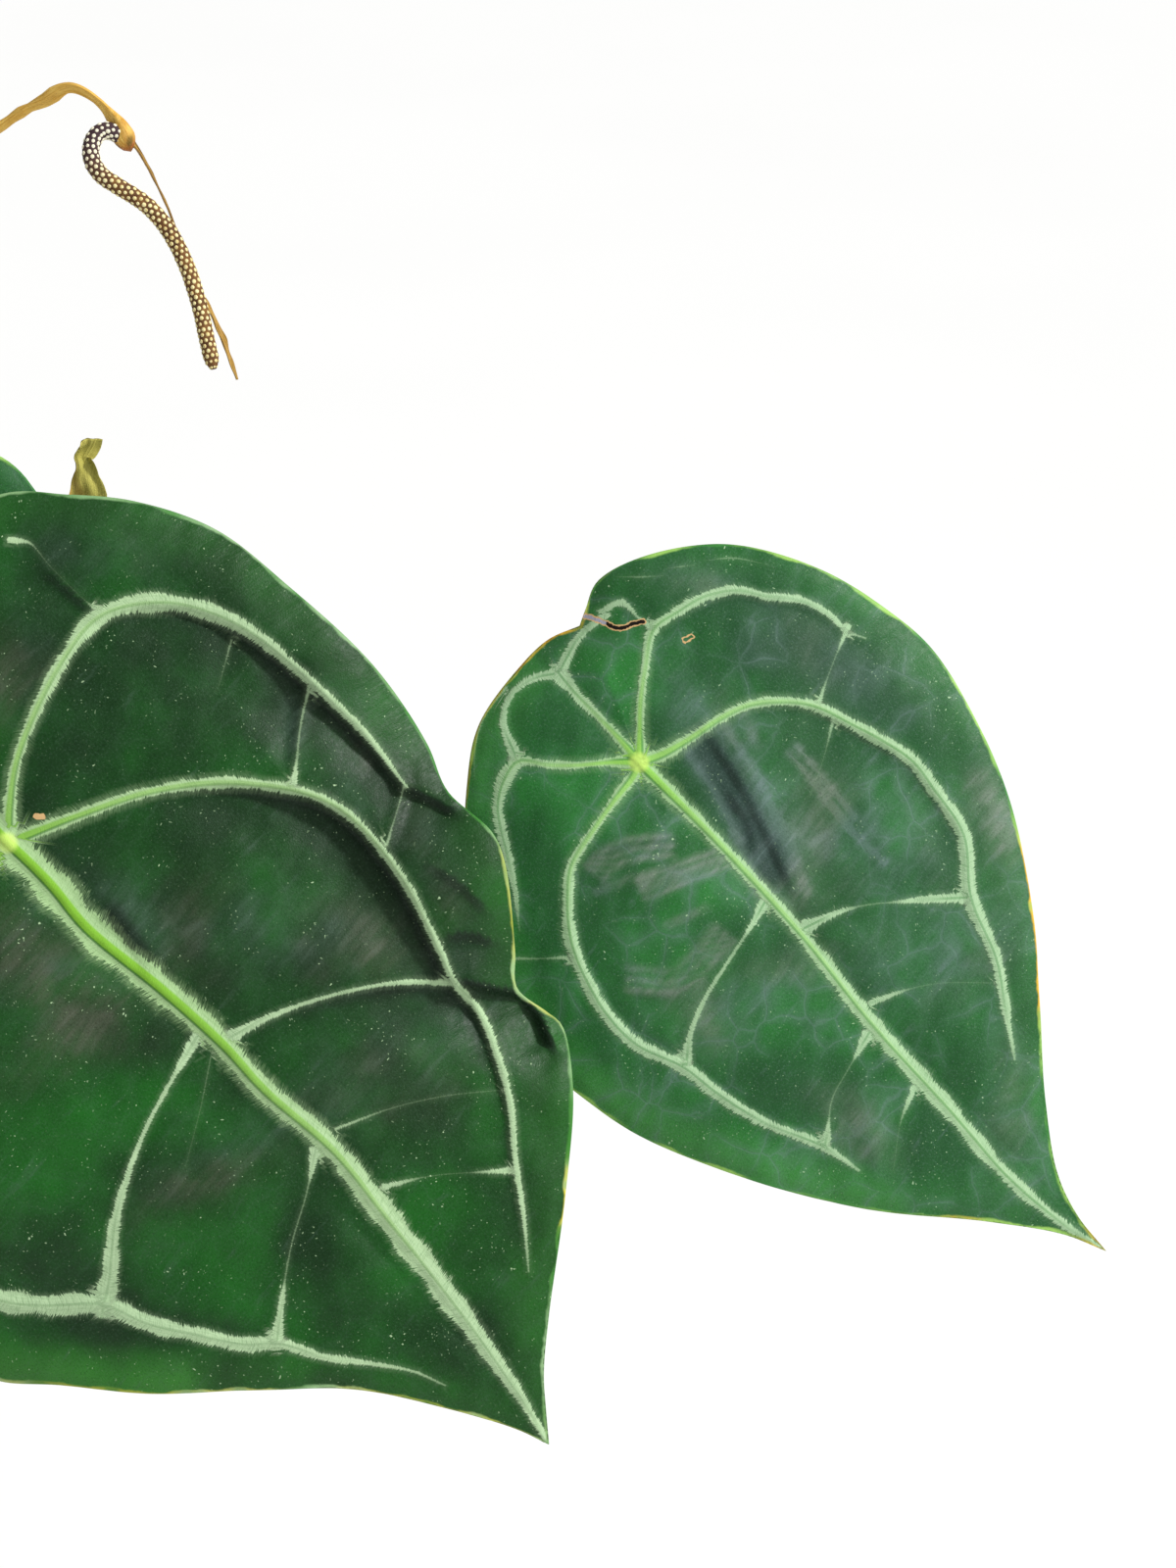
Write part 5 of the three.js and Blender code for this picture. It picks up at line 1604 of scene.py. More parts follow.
FACING_FRONT = (0, -0.94, 0.342)
BLADES = (
    Blade(
        "front_leaf", BROAD, LeafPlace((50.8, -14.6, 388.6), (0.668, -0.2545, -0.6993), FACING_FRONT),
        DARK_BLADE, Slot.DARK_BLADE, tip_drop=14, side_drop=12, back_drop=10, wave=1.6, wave_phase=0.5,
        swells=(Patch(82, 88, 21, 21, 0, 7), Patch(113, 74, 17, 17, 0, -8), Patch(40, -60, 35, 35, 0, 3)),
        creases=(
            Crease(((-44, 50), (-36, 51.5), (-28, 52)), 0.9, 3),
            Crease(((53, 80), (60.5, 83.5), (67, 85.5)), 2.6),
            Crease(((71, 72), (80, 74.5), (90, 75)), 1.0), Crease(((87, 63), (90, 68), (96, 71)), 1.8),
            Crease(((97, 58.5), (104, 63.5), (110, 67.5)), 4.4, 9),
            Crease(((110, 67), (116, 67), (125, 64.5)), 4.0, 8),
            Crease(((30, 7.5), (40, 6), (46, 5.5)), 0.8, 4),
        ),
        sheens=(
            Patch(28, -14, 20, 9, 10, 0.85), Patch(36, 12, 18, 6, 12, 0.6),
            Patch(58, 34, 26, 9, 38, 0.55), Patch(-29, 27, 9, 11, 20, 0.6), Patch(25, 70, 8, 3, -42, 0.9),
            Patch(44, 73, 12, 4, -42, 0.6), Patch(45, -20, 15, 6, 79, 0.6),
            Patch(91, -19, 16, 6, 79, 0.55), Patch(101, 27, 24, 10, 70, 0.45),
            Patch(75, 45, 14, 8, 40, 0.4), Patch(70, 74, 16, 5, -20, 0.4), Patch(-40, 62, 14, 5, 40, 0.4),
        ),
        glows=(
            Patch(20, 45, 22, 14, 60, 0.3), Patch(60, -40, 26, 16, 70, 0.7),
            Patch(110, -30, 20, 14, 0, 0.7),
            Stroke(((20, -92), (60, -93), (95, -85), (121, -62)), 8, 0.9), Patch(5, 35, 18, 14, 0, -0.2),
            Patch(140, 10, 20, 14, 0, 0.5), Patch(120, 45, 16, 10, -40, 0.5),
            Stroke(((30, 7.5), (46, 5.5)), 2.5, -0.9),
        ),
        burns=(
            Stroke(((90, -92), (105, -80.5), (121, -65.5), (138, -45)), 6, 0.6),
            Stroke(((60, -99), (84, -96)), 5, 0.8),
            Stroke(((154, -27), (173, -13.5), (188, -4.7)), 5, 0.5),
            Stroke(((150, 45), (156, 39)), 4, 1.0), Stroke(((84, 86), (101, 73), (117, 68)), 4, 0.5),
        ),
        tears=((((0.2, 9.6), (0.7, 10.2)), Tear.CORKY),), columns=196, rows=236, seed=3,
    ),
    Blade(
        "right_leaf", NOTCHED, LeafPlace((202.7, 24.9, 394.9), (0.6917, -0.247, -0.6786), FACING_FRONT),
        GREEN_BLADE, Slot.GREEN_BLADE, tip_drop=10, side_drop=9, back_drop=7, wave=1.3, wave_phase=2.2,
        swells=(Patch(40, 20, 17, 17, 0, -2.5), Patch(-34, 34, 13, 13, 0, 2.5)),
        creases=(
            Crease(((19, 12), (29, 10.5), (35, 6.5), (33.5, 3)), 0.9, 3),
            Crease(((34.5, 4.5), (36, 12.5)), 0.8, 3), Crease(((22, 10), (26, 10.5)), 0.5, 2.5),
            Crease(((5, 18), (18, 16), (36, 11), (50, 6)), 1.2, 5),
            Crease(((10, -27), (10, -21.5), (12.5, -15.5), (18.5, -7)), 0.6, 4),
            Crease(((39, -41), (47, -32.5), (49, -24)), 0.6, 4),
        ),
        sheens=(
            Stroke(((5.5, 16), (17, 13.6), (27.5, 11), (38, 7), (49.5, 4)), 6, 0.6),
            Patch(50, 27, 24, 14, 30, 0.5),
            Stroke(((8, 21.5), (20, 19.4), (30, 16.6), (41, 12.4), (52, 8)), 1.3, 0.9, 2, -11),
            Stroke(((10, -27), (9.7, -21.7), (12, -15.6), (18.5, -7)), 1.0, 0.9, 3, -2.4),
            Stroke(((16, -30), (20, -20), (25, -12)), 1.1, 0.6),
            Stroke(((34, -23), (37.5, -13)), 1.0, 0.8),
            Stroke(((25.5, -22), (29.5, -12), (34, -1.5)), 1.0, 1.0, 3, 2.3),
            Stroke(((24, 28.5), (34, 28), (47, 27)), 1.0, 1.0, 2, 2.6),
            Stroke(((39, -41), (47.5, -32.5), (49, -24), (48, -14)), 1.1, 0.8, 3, 2.6),
            Stroke(((34, 28), (50, 26.5), (60, 27)), 1.2, 0.8), Stroke(((17, 24), (10, 27)), 1.4, 0.6),
            Stroke(((63, 58), (78, 53)), 4, 0.6), Stroke(((63, -34), (50, -31)), 5, 0.5),
            Patch(-3, 20, 10, 6, 20, 0.5), Patch(103, -24, 11, 6, 0, 0.7), Patch(62, -15, 16, 6, 70, 0.5),
            Patch(-23, 42, 9, 4, 40, 0.5), Patch(88, 22, 20, 10, 60, 0.5), Patch(40, 14, 10, 6, 40, 0.5),
            Patch(75, 56, 16, 6, -30, 0.5), Patch(130, 6, 18, 7, -40, 0.4), Patch(15, 52, 14, 7, 0, 0.35),
        ),
        glows=(
            Patch(-16, 12, 12, 9, 60, 0.5), Patch(-8, -22, 14, 12, 0, 0.6),
            Patch(30, -45, 20, 10, 0, 0.3), Stroke(((10, 14.5), (20, 12.5), (30, 10), (42, 6)), 5, -0.9),
            Patch(10, 50, 16, 8, 0, -0.4), Stroke(((-8, -52), (34, -69), (68, -64), (119, -37)), 9, 0.8),
            Stroke(((-38, -8), (-26, -35)), 8, 0.5), Patch(32, 57, 15, 8, 0, -0.4),
            Patch(1, 39, 9, 7, 0, -0.4), Patch(45, -30, 24, 14, 0, 0.3),
        ),
        burns=(
            Stroke(((-38, -5), (-34.5, -22.5), (-25.6, -35)), 5, 0.4),
            Stroke(((-35, 13), (-38, 5), (-38, -2)), 4, 1.0),
            Stroke(((112, 31.4), (97, 44), (84, 52)), 5, 1.0), Patch(140, -22, 5, 5, 0, 1.0),
            Patch(166, 0, 5, 5, 0, 0.6),
        ),
        tears=(
            (((-30.4, 18.3), (-28.3, 19), (-26.8, 20.6), (-26, 22.9), (-24.8, 24.8)), Tear.OPEN),
            (((-35.5, 15.8), (-33.8, 16.8), (-31.4, 17.8)), Tear.BLEACHED),
            (((-14.0, 29.6), (-13.7, 30.8)), Tear.HEALED),
        ),
        columns=176, rows=210, seed=11,
    ),
    Blade(
        "left_rear_leaf", FULL_BACKED,
        LeafPlace((-1, 79.3, 412.7), (-0.2, -0.33, -0.92), (-0.1, -0.92, 0.38), 1.15), GREEN_BLADE,
        Slot.GREEN_BLADE, tip_drop=16, side_drop=10, back_drop=6, wave=2.4, wave_phase=1.1,
        sheens=(Patch(-20, -30, 14, 10, 40, 0.6), Patch(50, 20, 30, 12, 60, 0.5)), columns=130, rows=150,
        seed=19,
    ),
    Blade(
        "left_leaf", PLAIN, LeafPlace((-88, -30, 340), (-0.55, -0.1, -0.83), (-0.45, -0.75, 0.48), 1.02),
        DARK_BLADE, Slot.DARK_BLADE, tip_drop=20, side_drop=12, back_drop=6, wave=2.2, wave_phase=3.4,
        sheens=(Patch(30, 20, 20, 8, 60, 0.6), Patch(80, -20, 20, 8, 80, 0.5)), columns=130, rows=150,
        seed=23,
    ),
    Blade(
        "rear_leaf", PLAIN, LeafPlace((50, 118, 318), (0.45, 0.45, -0.77), (0.3, 0.75, 0.6), 0.9),
        GREEN_BLADE, Slot.GREEN_BLADE, tip_drop=18, side_drop=11, back_drop=6, wave=2.2, wave_phase=0.2,
        sheens=(Patch(20, -20, 20, 8, 60, 0.6), Patch(70, 10, 20, 8, 80, 0.5)), columns=130, rows=150,
        seed=29,
    ),
    Blade(
        "young_leaf", PLAIN, LeafPlace((-45, -62, 262), (-0.4, -0.5, -0.76), (-0.35, -0.7, 0.62), 0.56),
        YOUNG_BLADE, Slot.YOUNG_BLADE, tip_drop=22, side_drop=14, back_drop=8, wave=1.5, wave_phase=2.8,
        sheens=(Patch(40, 10, 24, 12, 60, 0.5),), columns=100, rows=116, seed=31,
    ),
)


# Stalks


def polar(radius: float, turn: float, height: float) -> Point3:
    """A point round the stem: radius, turn in degrees and height."""
    angle = math.radians(turn)
    return (radius * math.cos(angle), radius * math.sin(angle), height)


@dataclass(frozen=True)
class Petiole:
    """A leaf's stalk: a sheath that clasps the stem, a long stalk and a swollen joint at the blade."""

    blade: Blade
    turn: float
    height: float
    points: tuple[Point3, ...]
    radius: float = 2.5
    sheath: float = 4.0
    joint: float = 3.2
    joint_length: float = 10.0
    socket_depth: float = 5.0
    stem_gap: float = 15.0

    def build(self) -> Piece:
        """Bends the stalk from its socket in the stem to the blade's joint."""
        place = self.blade.place
        below = [
            tuple(place.carry(np.array(0.0), np.array(0.0), np.array(-depth / place.scale)))
            for depth in (1.1 * self.joint_length * place.scale, 1.0 * place.scale)
        ]
        route = Route(
            (
                polar(self.socket_depth, self.turn, self.height),
                polar(self.stem_gap, self.turn, self.height + 13),
                *self.points,
                *below,
            )
        )
        length, slim = route.length, math.sqrt(place.scale)

        def half_sizes(share: Array, turn: Array) -> tuple[Array, Array]:
            """The stalk's radius, with fine ribs along it, a groove above and rings at its joint."""
            run = share * length
            left = length - run
            sheath = (self.sheath - self.radius) * (1 - ramp(12, 48, run))
            socket = 1.4 * (1 - ramp(0, 9, run))
            joint = 1 - ramp(self.joint_length, 1.5 * self.joint_length, left)
            joint = joint * (self.joint - self.radius)
            rings = 1 - ramp(self.joint_length - 1, self.joint_length, left)
            rings = rings * 0.07 * np.sin(left * 4.2)
            ribs = 0.045 * np.sin(9 * turn + 0.02 * run) + 0.05 * np.sin(run / 23 + turn)
            groove = -0.32 * np.exp(-((((turn - math.pi / 2) / 0.42)) ** 2)) * ramp(10, 30, left)
            radius = slim * (self.radius + sheath - socket + joint + rings + ribs + groove)
            return radius, radius

        limb = Limb(route, half_sizes, side=(0.2, 0.3, 0.9) if abs(place.hub[0]) > 150 else (0.3, 0.9, 0.2))
        name = self.blade.name + "_petiole"
        return settle(name, limb.build(), PETIOLE.make(), Slot.PETIOLE, name)


@dataclass(frozen=True)
class FlowerStalk:
    """A withered flower: its peduncle, the spadix hung from its end and the dry spathe.

    Each pair of girth is a distance from the peduncle's end and its half size there. The spathe's
    halves are its half widths and its curls how far each half rolls up, in radians, from base to tip.
    """

    name: str
    peduncle: tuple[Point3, ...]
    flat: float
    spadix: tuple[Point3, ...]
    knob_rows: int
    spathe: tuple[Point3, ...]
    spathe_halves: tuple[float, ...]
    spathe_side: Point3
    spathe_finish: DriedFinish
    curls: tuple[float, ...]
    spathe_twist: float = 0.0
    fold: float = 0.0
    beak: float = 0.0
    spathe_thickness: float = 0.26
    girth: tuple[Point2, ...] = (
        (0, 2.2), (2.2, 2.7), (4.6, 2.9), (7.5, 2.5), (9.8, 1.8), (12.5, 1.2), (16, 1.05), (20, 1.25),
        (25, 1.45), (29, 2.05), (33, 1.7), (37, 1.15), (40, 1.5), (43.5, 1.2), (50, 1.7),
    )
    knobs_round: int = 8
    spadix_radius: float = 2.15
    knob_radius: float = 0.54

    def build_peduncle(self) -> Piece:
        """The dry stalk: flattened towards its end, creased, with a neck and a swollen knot."""
        route = Route(self.peduncle)

        def half_sizes(share: Array, turn: Array) -> tuple[Array, Array]:
            """Half sizes of the withered stalk."""
            left = (1 - share) * route.length
            withered = 0.15 * np.sin(share * 41) + 0.08 * np.sin(share * 97 + 1)
            girth = np.interp(left, *zip(*self.girth))
            crease = 0.14 * np.sin(3 * turn + 14 * share) + 0.09 * np.sin(7 * turn - 9 * share)
            closed = np.sqrt(1 - np.clip(1 - left / 4.2, 0, 1) ** 1.7)
            size = girth + withered * ramp(30, 60, left)
            above_knot = ramp(3, 9, left)
            flat = 1 + (self.flat - 1) * ramp(0.6, 0.9, share) * above_knot
            pinch = 1 - 0.22 * bell(np.sin(turn), 0.35) * ramp(0.5, 0.8, share) * above_knot
            return (size * flat * pinch + 0.6 * crease) * closed, (size + crease) * closed

        limb = Limb(route, half_sizes, side=(0.3, 0.9, 0.2), sides=36, step=1.0)
        grid = limb.build()
        x, y, run = kept(grid, "unbent")
        left = route.length - run
        burn = 0.6 * (1 - ramp(0.4, 3.2, left)) + 0.35 * (1 - ramp(3, 10, left))
        burn += 0.2 * ramp(0.8, 1.5, np.abs(y))
        streak = ramp(0.1, 0.8, np.sin(3 * np.arctan2(y, x) + 0.5 * left))
        keep(grid, "burn", burn, 0.6 * streak * bell(left - 4.6, 0.9), streak * bell(left - 2.4, 1.2))
        name = self.name + "_peduncle"
        return settle(name, grid, DRIED_STALK.make(), Slot.DRIED_STALK, name)

    def build_spadix(self) -> Piece:
        """The dry spike, with a staggered net of raised round knobs."""
        route = Route(self.spadix)

        def radius_at(share: Array) -> Array:
            """The spike's radius, slimmer to its rounded tip."""
            rounded = np.sqrt(np.clip(1 - ramp(0.958, 1.012, share), 0.02, 1))
            neck = 1 - 0.35 * (1 - ramp(0, 0.04, share))
            return self.spadix_radius * (1 - 0.12 * share) * rounded * neck

        def half_sizes(share: Array, turn: Array) -> tuple[Array, Array]:
            """Half sizes of the bare spike, with shallow pits between the knobs."""
            pits = np.sin(self.knobs_round * turn) * np.sin(share * math.pi * self.knob_rows)
            radius = radius_at(share) + 0.06 * pits
            return radius, radius

        limb = Limb(route, half_sizes, sides=36, step=0.55)
        grid = limb.build()
        run = kept(grid, "unbent")[2] / route.length
        keep(grid, "knob", 0 * run, run)
        draw = np.random.default_rng(5)
        lump = Lump("knob")
        share = (np.arange(self.knob_rows) + 0.6) / self.knob_rows
        place, across, upward = limb.frames(share)
        way = route.way(share)
        for row in range(self.knob_rows):
            for column in range(self.knobs_round):
                angle = FULL_TURN * (column + 0.5 * (row % 2)) / self.knobs_round + draw.uniform(-0.05, 0.05)
                out = math.cos(angle) * across[row] + math.sin(angle) * upward[row]
                radius = float(radius_at(share[row]))
                size = self.knob_radius * draw.uniform(0.86, 1.12) * math.sqrt(radius / self.spadix_radius)
                centre = place[row] + (radius - 0.08) * out + draw.uniform(-0.1, 0.1) * way[row]
                turned = Matrix((np.cross(out, way[row]), way[row], out)).transposed().to_4x4()
                flat = Matrix.Diagonal((size, size * 1.08, size * 0.5, 1))
                lump.lay(grid, Matrix.Translation(centre) @ turned @ flat, (1, share[row], 0))
        lump.discard()
        name = self.name + "_spadix"
        return settle(name, grid, SPADIX.make(), Slot.DRIED_SPADIX, name)

    def build_spathe(self) -> Piece:
        """The dry spathe: a creased strap whose edges curl."""
        route = Route(self.spathe)
        side = np.asarray(self.spathe_side, float)
        rows = round(route.length / 0.5)
        grid, around, share = sheet(44, rows)
        turn = around * FULL_TURN
        way = route.way(share)
        out = side - (way @ side)[:, None] * way
        out /= np.linalg.norm(out, axis=1, keepdims=True)
        angle = (self.spathe_twist * ramp(0.5, 1, share))[:, None]
        out = np.cos(angle) * out + np.sin(angle) * np.cross(way, out)
        upward = np.cross(way, out)
        half = spread(self.spathe_halves, share)
        curl = spread(self.curls, share)
        reach = np.cos(turn)
        bend = curl * reach
        inward = np.sinc(bend / math.pi)
        lift = half * (1 - np.cos(bend)) / curl
        skin = (self.spathe_thickness * np.sin(turn))[:, None]
        skin = skin * (np.cos(bend)[:, None] * upward - np.sin(bend)[:, None] * out)
        crease = 0.12 * np.sin(9 * reach + 5 * share) + 0.1 * np.sin(route.length * share * 1.1 + 3 * reach)
        waved = 0.25 * np.abs(reach) ** 2 * np.sin(route.length * share * 0.7 + np.sign(reach))
        ridge = 3.3 * share - 2.3
        height = lift + (crease + waved) * np.clip(half, 0, 1.5) + self.fold * bell(reach - ridge, 0.3)
        beak = self.beak * ramp(0.8, 1, share) * np.clip(-reach, 0, 1) ** 2
        aside = (reach * half * inward - beak)[:, None] * out
        shoulder = self.beak * ramp(0.75, 1, share) * np.clip(reach, 0, 1) ** 2
        aside -= shoulder[:, None] * way
        move_to(grid, route.at(share) + aside + height[:, None] * upward + skin)
        keep(grid, "unbent", reach * half, 0 * reach, share * route.length)
        burn = ramp(0.55, 1, np.abs(reach)) * (0.9 - 0.7 * ramp(0.5, 0.8, share))
        burn += 0.7 * (1 - ramp(0.4, 0.62, share)) * ramp(0.3, 0.8, np.abs(reach))
        # Painted light on the fold's flank right of the ridge, painted shade just left of it.
        folded = 0.9 * np.sign(self.fold)
        light = folded * (1 - ramp(0, 0.5, reach - ridge)) * (1 - ramp(0.7, 0.95, share))
        dark = folded * bell(reach - ridge - 0.75, 0.4) * ramp(0.35, 0.6, share)
        keep(grid, "burn", burn, light, dark)
        close_up(grid)
        name = self.name + "_spathe"
        return settle(name, grid, self.spathe_finish.make(), Slot.DRIED_SPATHE, name)

    def build(self) -> None:
        """Builds the three pieces."""
        self.build_peduncle()
        self.build_spadix()
        self.build_spathe()


PETIOLES = (
    Petiole(BLADES[0], -40, 156, ((15, -7, 200), (24, 1, 255), (38, 6, 320), (48, 3, 366))),
    Petiole(
        BLADES[1], 25, 150, ((25, 13, 212), (46, 25, 258), (90, 38, 314), (140, 42, 347), (180, 43, 372)),
    ),
    Petiole(BLADES[2], 110, 154, ((-15, 38, 240), (-16, 72, 330), (-6, 93, 388))),
    Petiole(BLADES[3], 185, 146, ((-28, -6, 200), (-55, -10, 268), (-74, -13, 315))),
    Petiole(BLADES[4], 70, 139, ((11, 36, 200), (22, 70, 262), (37, 97, 296))),
    Petiole(BLADES[5], 235, 140, ((-17, -26, 190), (-31, -42, 232))),
)
FLOWERS = (
    FlowerStalk(
        name="tall_flower",
        peduncle=(
            (-1, 3, 160), (-1, 8, 185), (3, 22, 250), (9, 42, 348), (16, 63, 447), (25, 87, 512),
            (35, 95, 535.5), (43.2, 94, 541.6), (47.5, 92.8, 544.6), (53.5, 90.5, 547.8),
            (60.3, 87.9, 551.6), (67, 84.8, 549.4), (73, 82, 543), (76, 80.6, 536.8),
        ),
        flat=0.62,
        spadix=(
            (74.3, 80.6, 539.6), (71.2, 80.8, 541.9), (68.2, 80, 541.6), (66.4, 78, 538.6),
            (66.8, 76.3, 535.2), (69, 75, 532.1), (73, 73.9, 529.6), (80.3, 73.2, 524.8),
            (85.5, 72.1, 518.8), (89.8, 70.2, 510.5), (93, 66.9, 501.3), (95.2, 63.5, 492.2),
            (96.7, 61.3, 486),
        ),
        knob_rows=57,
        spathe=(
            (76, 80.6, 539.5), (78.6, 81.4, 535.4), (81.3, 81.5, 529.9), (84.5, 80.6, 523), (91, 76, 506),
            (97.5, 69.5, 494), (102.4, 61.4, 483.4),
        ),
        spathe_halves=(0.9, 0.45, 0.4, 0.5, 0.75, 1.0, 0.4), spathe_side=(0.35, 0.9, 0.25),
        spathe_finish=DRIED_STRAP, curls=(0.9,),
    ),
    FlowerStalk(
        name="short_flower",
        peduncle=(
            (4, 1, 160), (7, 6, 190), (13, 18, 230), (27, 36, 320), (47, 52, 392), (58, 61, 422),
            (62, 65, 431),
        ),
        flat=0.8,
        spadix=(
            (62, 62.5, 431), (66, 58.5, 432), (72, 55, 428), (75, 54, 418), (74, 53, 404), (71, 52, 388),
            (69, 51, 370),
        ),
        knob_rows=38,
        spathe=(
            (61.5, 67.5, 431), (62.4, 67.3, 441), (62.9, 67.5, 452.7), (62.5, 67.8, 456),
            (62.4, 67.8, 458.8), (61.7, 68, 461.8), (62.6, 67.9, 463.7), (63.4, 67.8, 465.1),
            (63.7, 67.6, 466.5),
        ),
        spathe_halves=(2.3, 2.7, 3.2, 3.8, 4.4, 4.9, 5.2, 5.3, 4.4, 3.7, 2.9, 2.9, 2.5),
        spathe_side=(-0.94, -0.2, 0.1), spathe_finish=DRIED_SPATHE,
        curls=(1.5, 1.3, 1.1, 1, 0.9, 0.8, 0.7, 0.7, 0.8, 1.0, 1.6, 1.2, 0.7), spathe_twist=0.2, fold=0.5,
        beak=1.5,
    ),
)


# Stem, soil and pot


@dataclass(frozen=True)
class Root:
    """A root that arches from the stem into the soil: turn in degrees, height and reach."""

    turn: float
    height: float
    reach: float


@dataclass(frozen=True)
class ScaleLeaf:
    """A papery scale left round the stem: turn in degrees, height and length."""

    turn: float
    height: float
    length: float


@dataclass(frozen=True)
class Stem:
    """Short corky stem with leaf scars, papery scales, roots and a rolled new leaf in its top."""

    foot: float = 103
    top: float = 168
    radius: float = 12
    scar_spacing: float = 9
    scar_proud: float = 0.9
    soil_level: float = 118
    root_radius: float = 1.9
    scale_half_width: float = 4.6
    roots: tuple[Root, ...] = (
        Root(10, 130, 27), Root(92, 127, 22), Root(160, 131, 29), Root(228, 128, 24), Root(305, 130, 31),
    )
    scales: tuple[ScaleLeaf, ...] = (
        ScaleLeaf(-86, 146, 34), ScaleLeaf(148, 142, 30), ScaleLeaf(212, 150, 26),
    )
    shoot: tuple[Point3, ...] = ((-1, -3, 160), (-2, -4, 185), (-5, -7, 212), (-10, -11, 240))
    shoot_radius: float = 3.4

    def build_core(self) -> Piece:
        """The stem itself, ringed by old leaf scars."""
        grid, around, share = sheet(72, 90)
        turn = around * FULL_TURN
        height = self.foot + share * (self.top - self.foot)
        ring = np.sin(FULL_TURN * (height - self.foot) / self.scar_spacing + 0.6 * np.sin(turn + height / 9))
        girth = 0.7 + 0.3 * ramp(self.foot, self.foot + 22, height)
        tapered = 1 - 0.45 * ramp(self.top - 12, self.top, height)
        closed = np.sqrt(np.clip(1 - ramp(0.985, 1.0, share), 0, 1))
        lumps = ripple(np.stack([turn * 8, height], axis=1), 9, 4) * np.sin(turn / 2) ** 2 * 0.6
        scars = self.scar_proud * np.sign(ring) * np.abs(ring) ** 0.5
        radius = (self.radius * girth * tapered + scars + lumps) * closed
        move_to(grid, np.stack([radius * np.cos(turn), radius * np.sin(turn), height], axis=1))
        keep(grid, "fresh", 0.75 * ramp(self.top - 28, self.top - 4, height))
        close_up(grid)
        return settle("stem_core", grid, BARK.make(), Slot.STEM, "stem")

    def build_roots(self) -> None:
        """The roots, each in its own piece, knobbly and pale at the tip."""
        for number, root in enumerate(self.roots):
            swing = [math.degrees(angle) for angle in (0, 0.05, 0.18, 0.26)]
            radii = (self.radius - 5, self.radius + 4, root.reach * 0.8, root.reach)
            heights = (root.height + 2, root.height - 1, self.soil_level + 5, self.soil_level - 10)
            turns = [root.turn + angle for angle in swing]
            route = Route([polar(*point) for point in zip(radii, turns, heights)])

            def half_sizes(share: Array, turn: Array) -> tuple[Array, Array]:
                """The root's radius, slimmer downwards and knobbly."""
                knobs = 0.14 * np.sin(share * 31 + number) + 0.09 * np.sin(5 * turn + 19 * share)
                radius = self.root_radius * (1 - 0.3 * share) + knobs
                return radius, radius

            grid = Limb(route, half_sizes, sides=20, step=0.8).build()
            keep(grid, "fresh", 0.6 * ramp(0.3, 0.9, kept(grid, "unbent")[2] / route.length))
            settle(f"root_{number + 1}", grid, ROOT_AND_SCALE.make(), Slot.STEM)

    def build_scales(self) -> None:
        """The papery scales, cupped round the stem."""
        for number, scale in enumerate(self.scales):
            leaning = ((-1.5, -6 / scale.length), (1.2, 0.2), (3, 0.6), (7, 1))
            route = Route(
                [
                    polar(self.radius + out, scale.turn, scale.height + scale.length * share)
                    for out, share in leaning
                ]
            )
            side = np.array(polar(1, scale.turn + 90, 0))
            outward = np.array(polar(1, scale.turn, 0))
            grid, across, share = sheet(22, 44)
            reach = 2 * across - 1
            slim = np.sqrt(1 - 0.97 * share**2)
            half = self.scale_half_width * slim
            cupped = -1.1 * reach**2 * slim
            wrinkle = 0.12 * np.sin(13 * reach + 4 * share) + 0.25 * np.sin(7 * share + 3 * reach + number)
            lifted = (cupped + wrinkle * slim)[:, None] * outward
            move_to(grid, route.at(share) + (reach * half)[:, None] * side + lifted)
            keep(grid, "fresh", 0.8 - 0.7 * ramp(0.1, 0.9, share))
            bmesh.ops.remove_doubles(grid, verts=grid.verts[:], dist=1e-3)
            bmesh.ops.recalc_face_normals(grid, faces=grid.faces[:])
            bmesh.ops.solidify(grid, geom=grid.faces[:], thickness=0.45)
            settle(f"scale_leaf_{number + 1}", grid, ROOT_AND_SCALE.make(), Slot.STEM)

    def build_shoot(self) -> Piece:
        """The rolled new leaf: a spindle wound of its own blade."""
        route = Route(self.shoot)

        def half_sizes(share: Array, turn: Array) -> tuple[Array, Array]:
            """The rolled leaf's radius, with the lip of its outer turn winding up it."""
            radius = self.shoot_radius * np.sqrt(np.clip(1 - 0.985 * share**2, 0, 1))
            lip = ((turn + 5 * share) % FULL_TURN) / FULL_TURN
            return radius * (0.9 + 0.16 * lip**3), radius * (0.9 + 0.16 * lip**3)

        grid = Limb(route, half_sizes, sides=48, step=0.9).build()
        return settle("new_shoot", grid, SHOOT.make(), Slot.PETIOLE, "new_shoot")

    def build(self) -> None:
        """Builds the stem's pieces."""
        self.build_core()
        self.build_roots()
        self.build_scales()
        self.build_shoot()


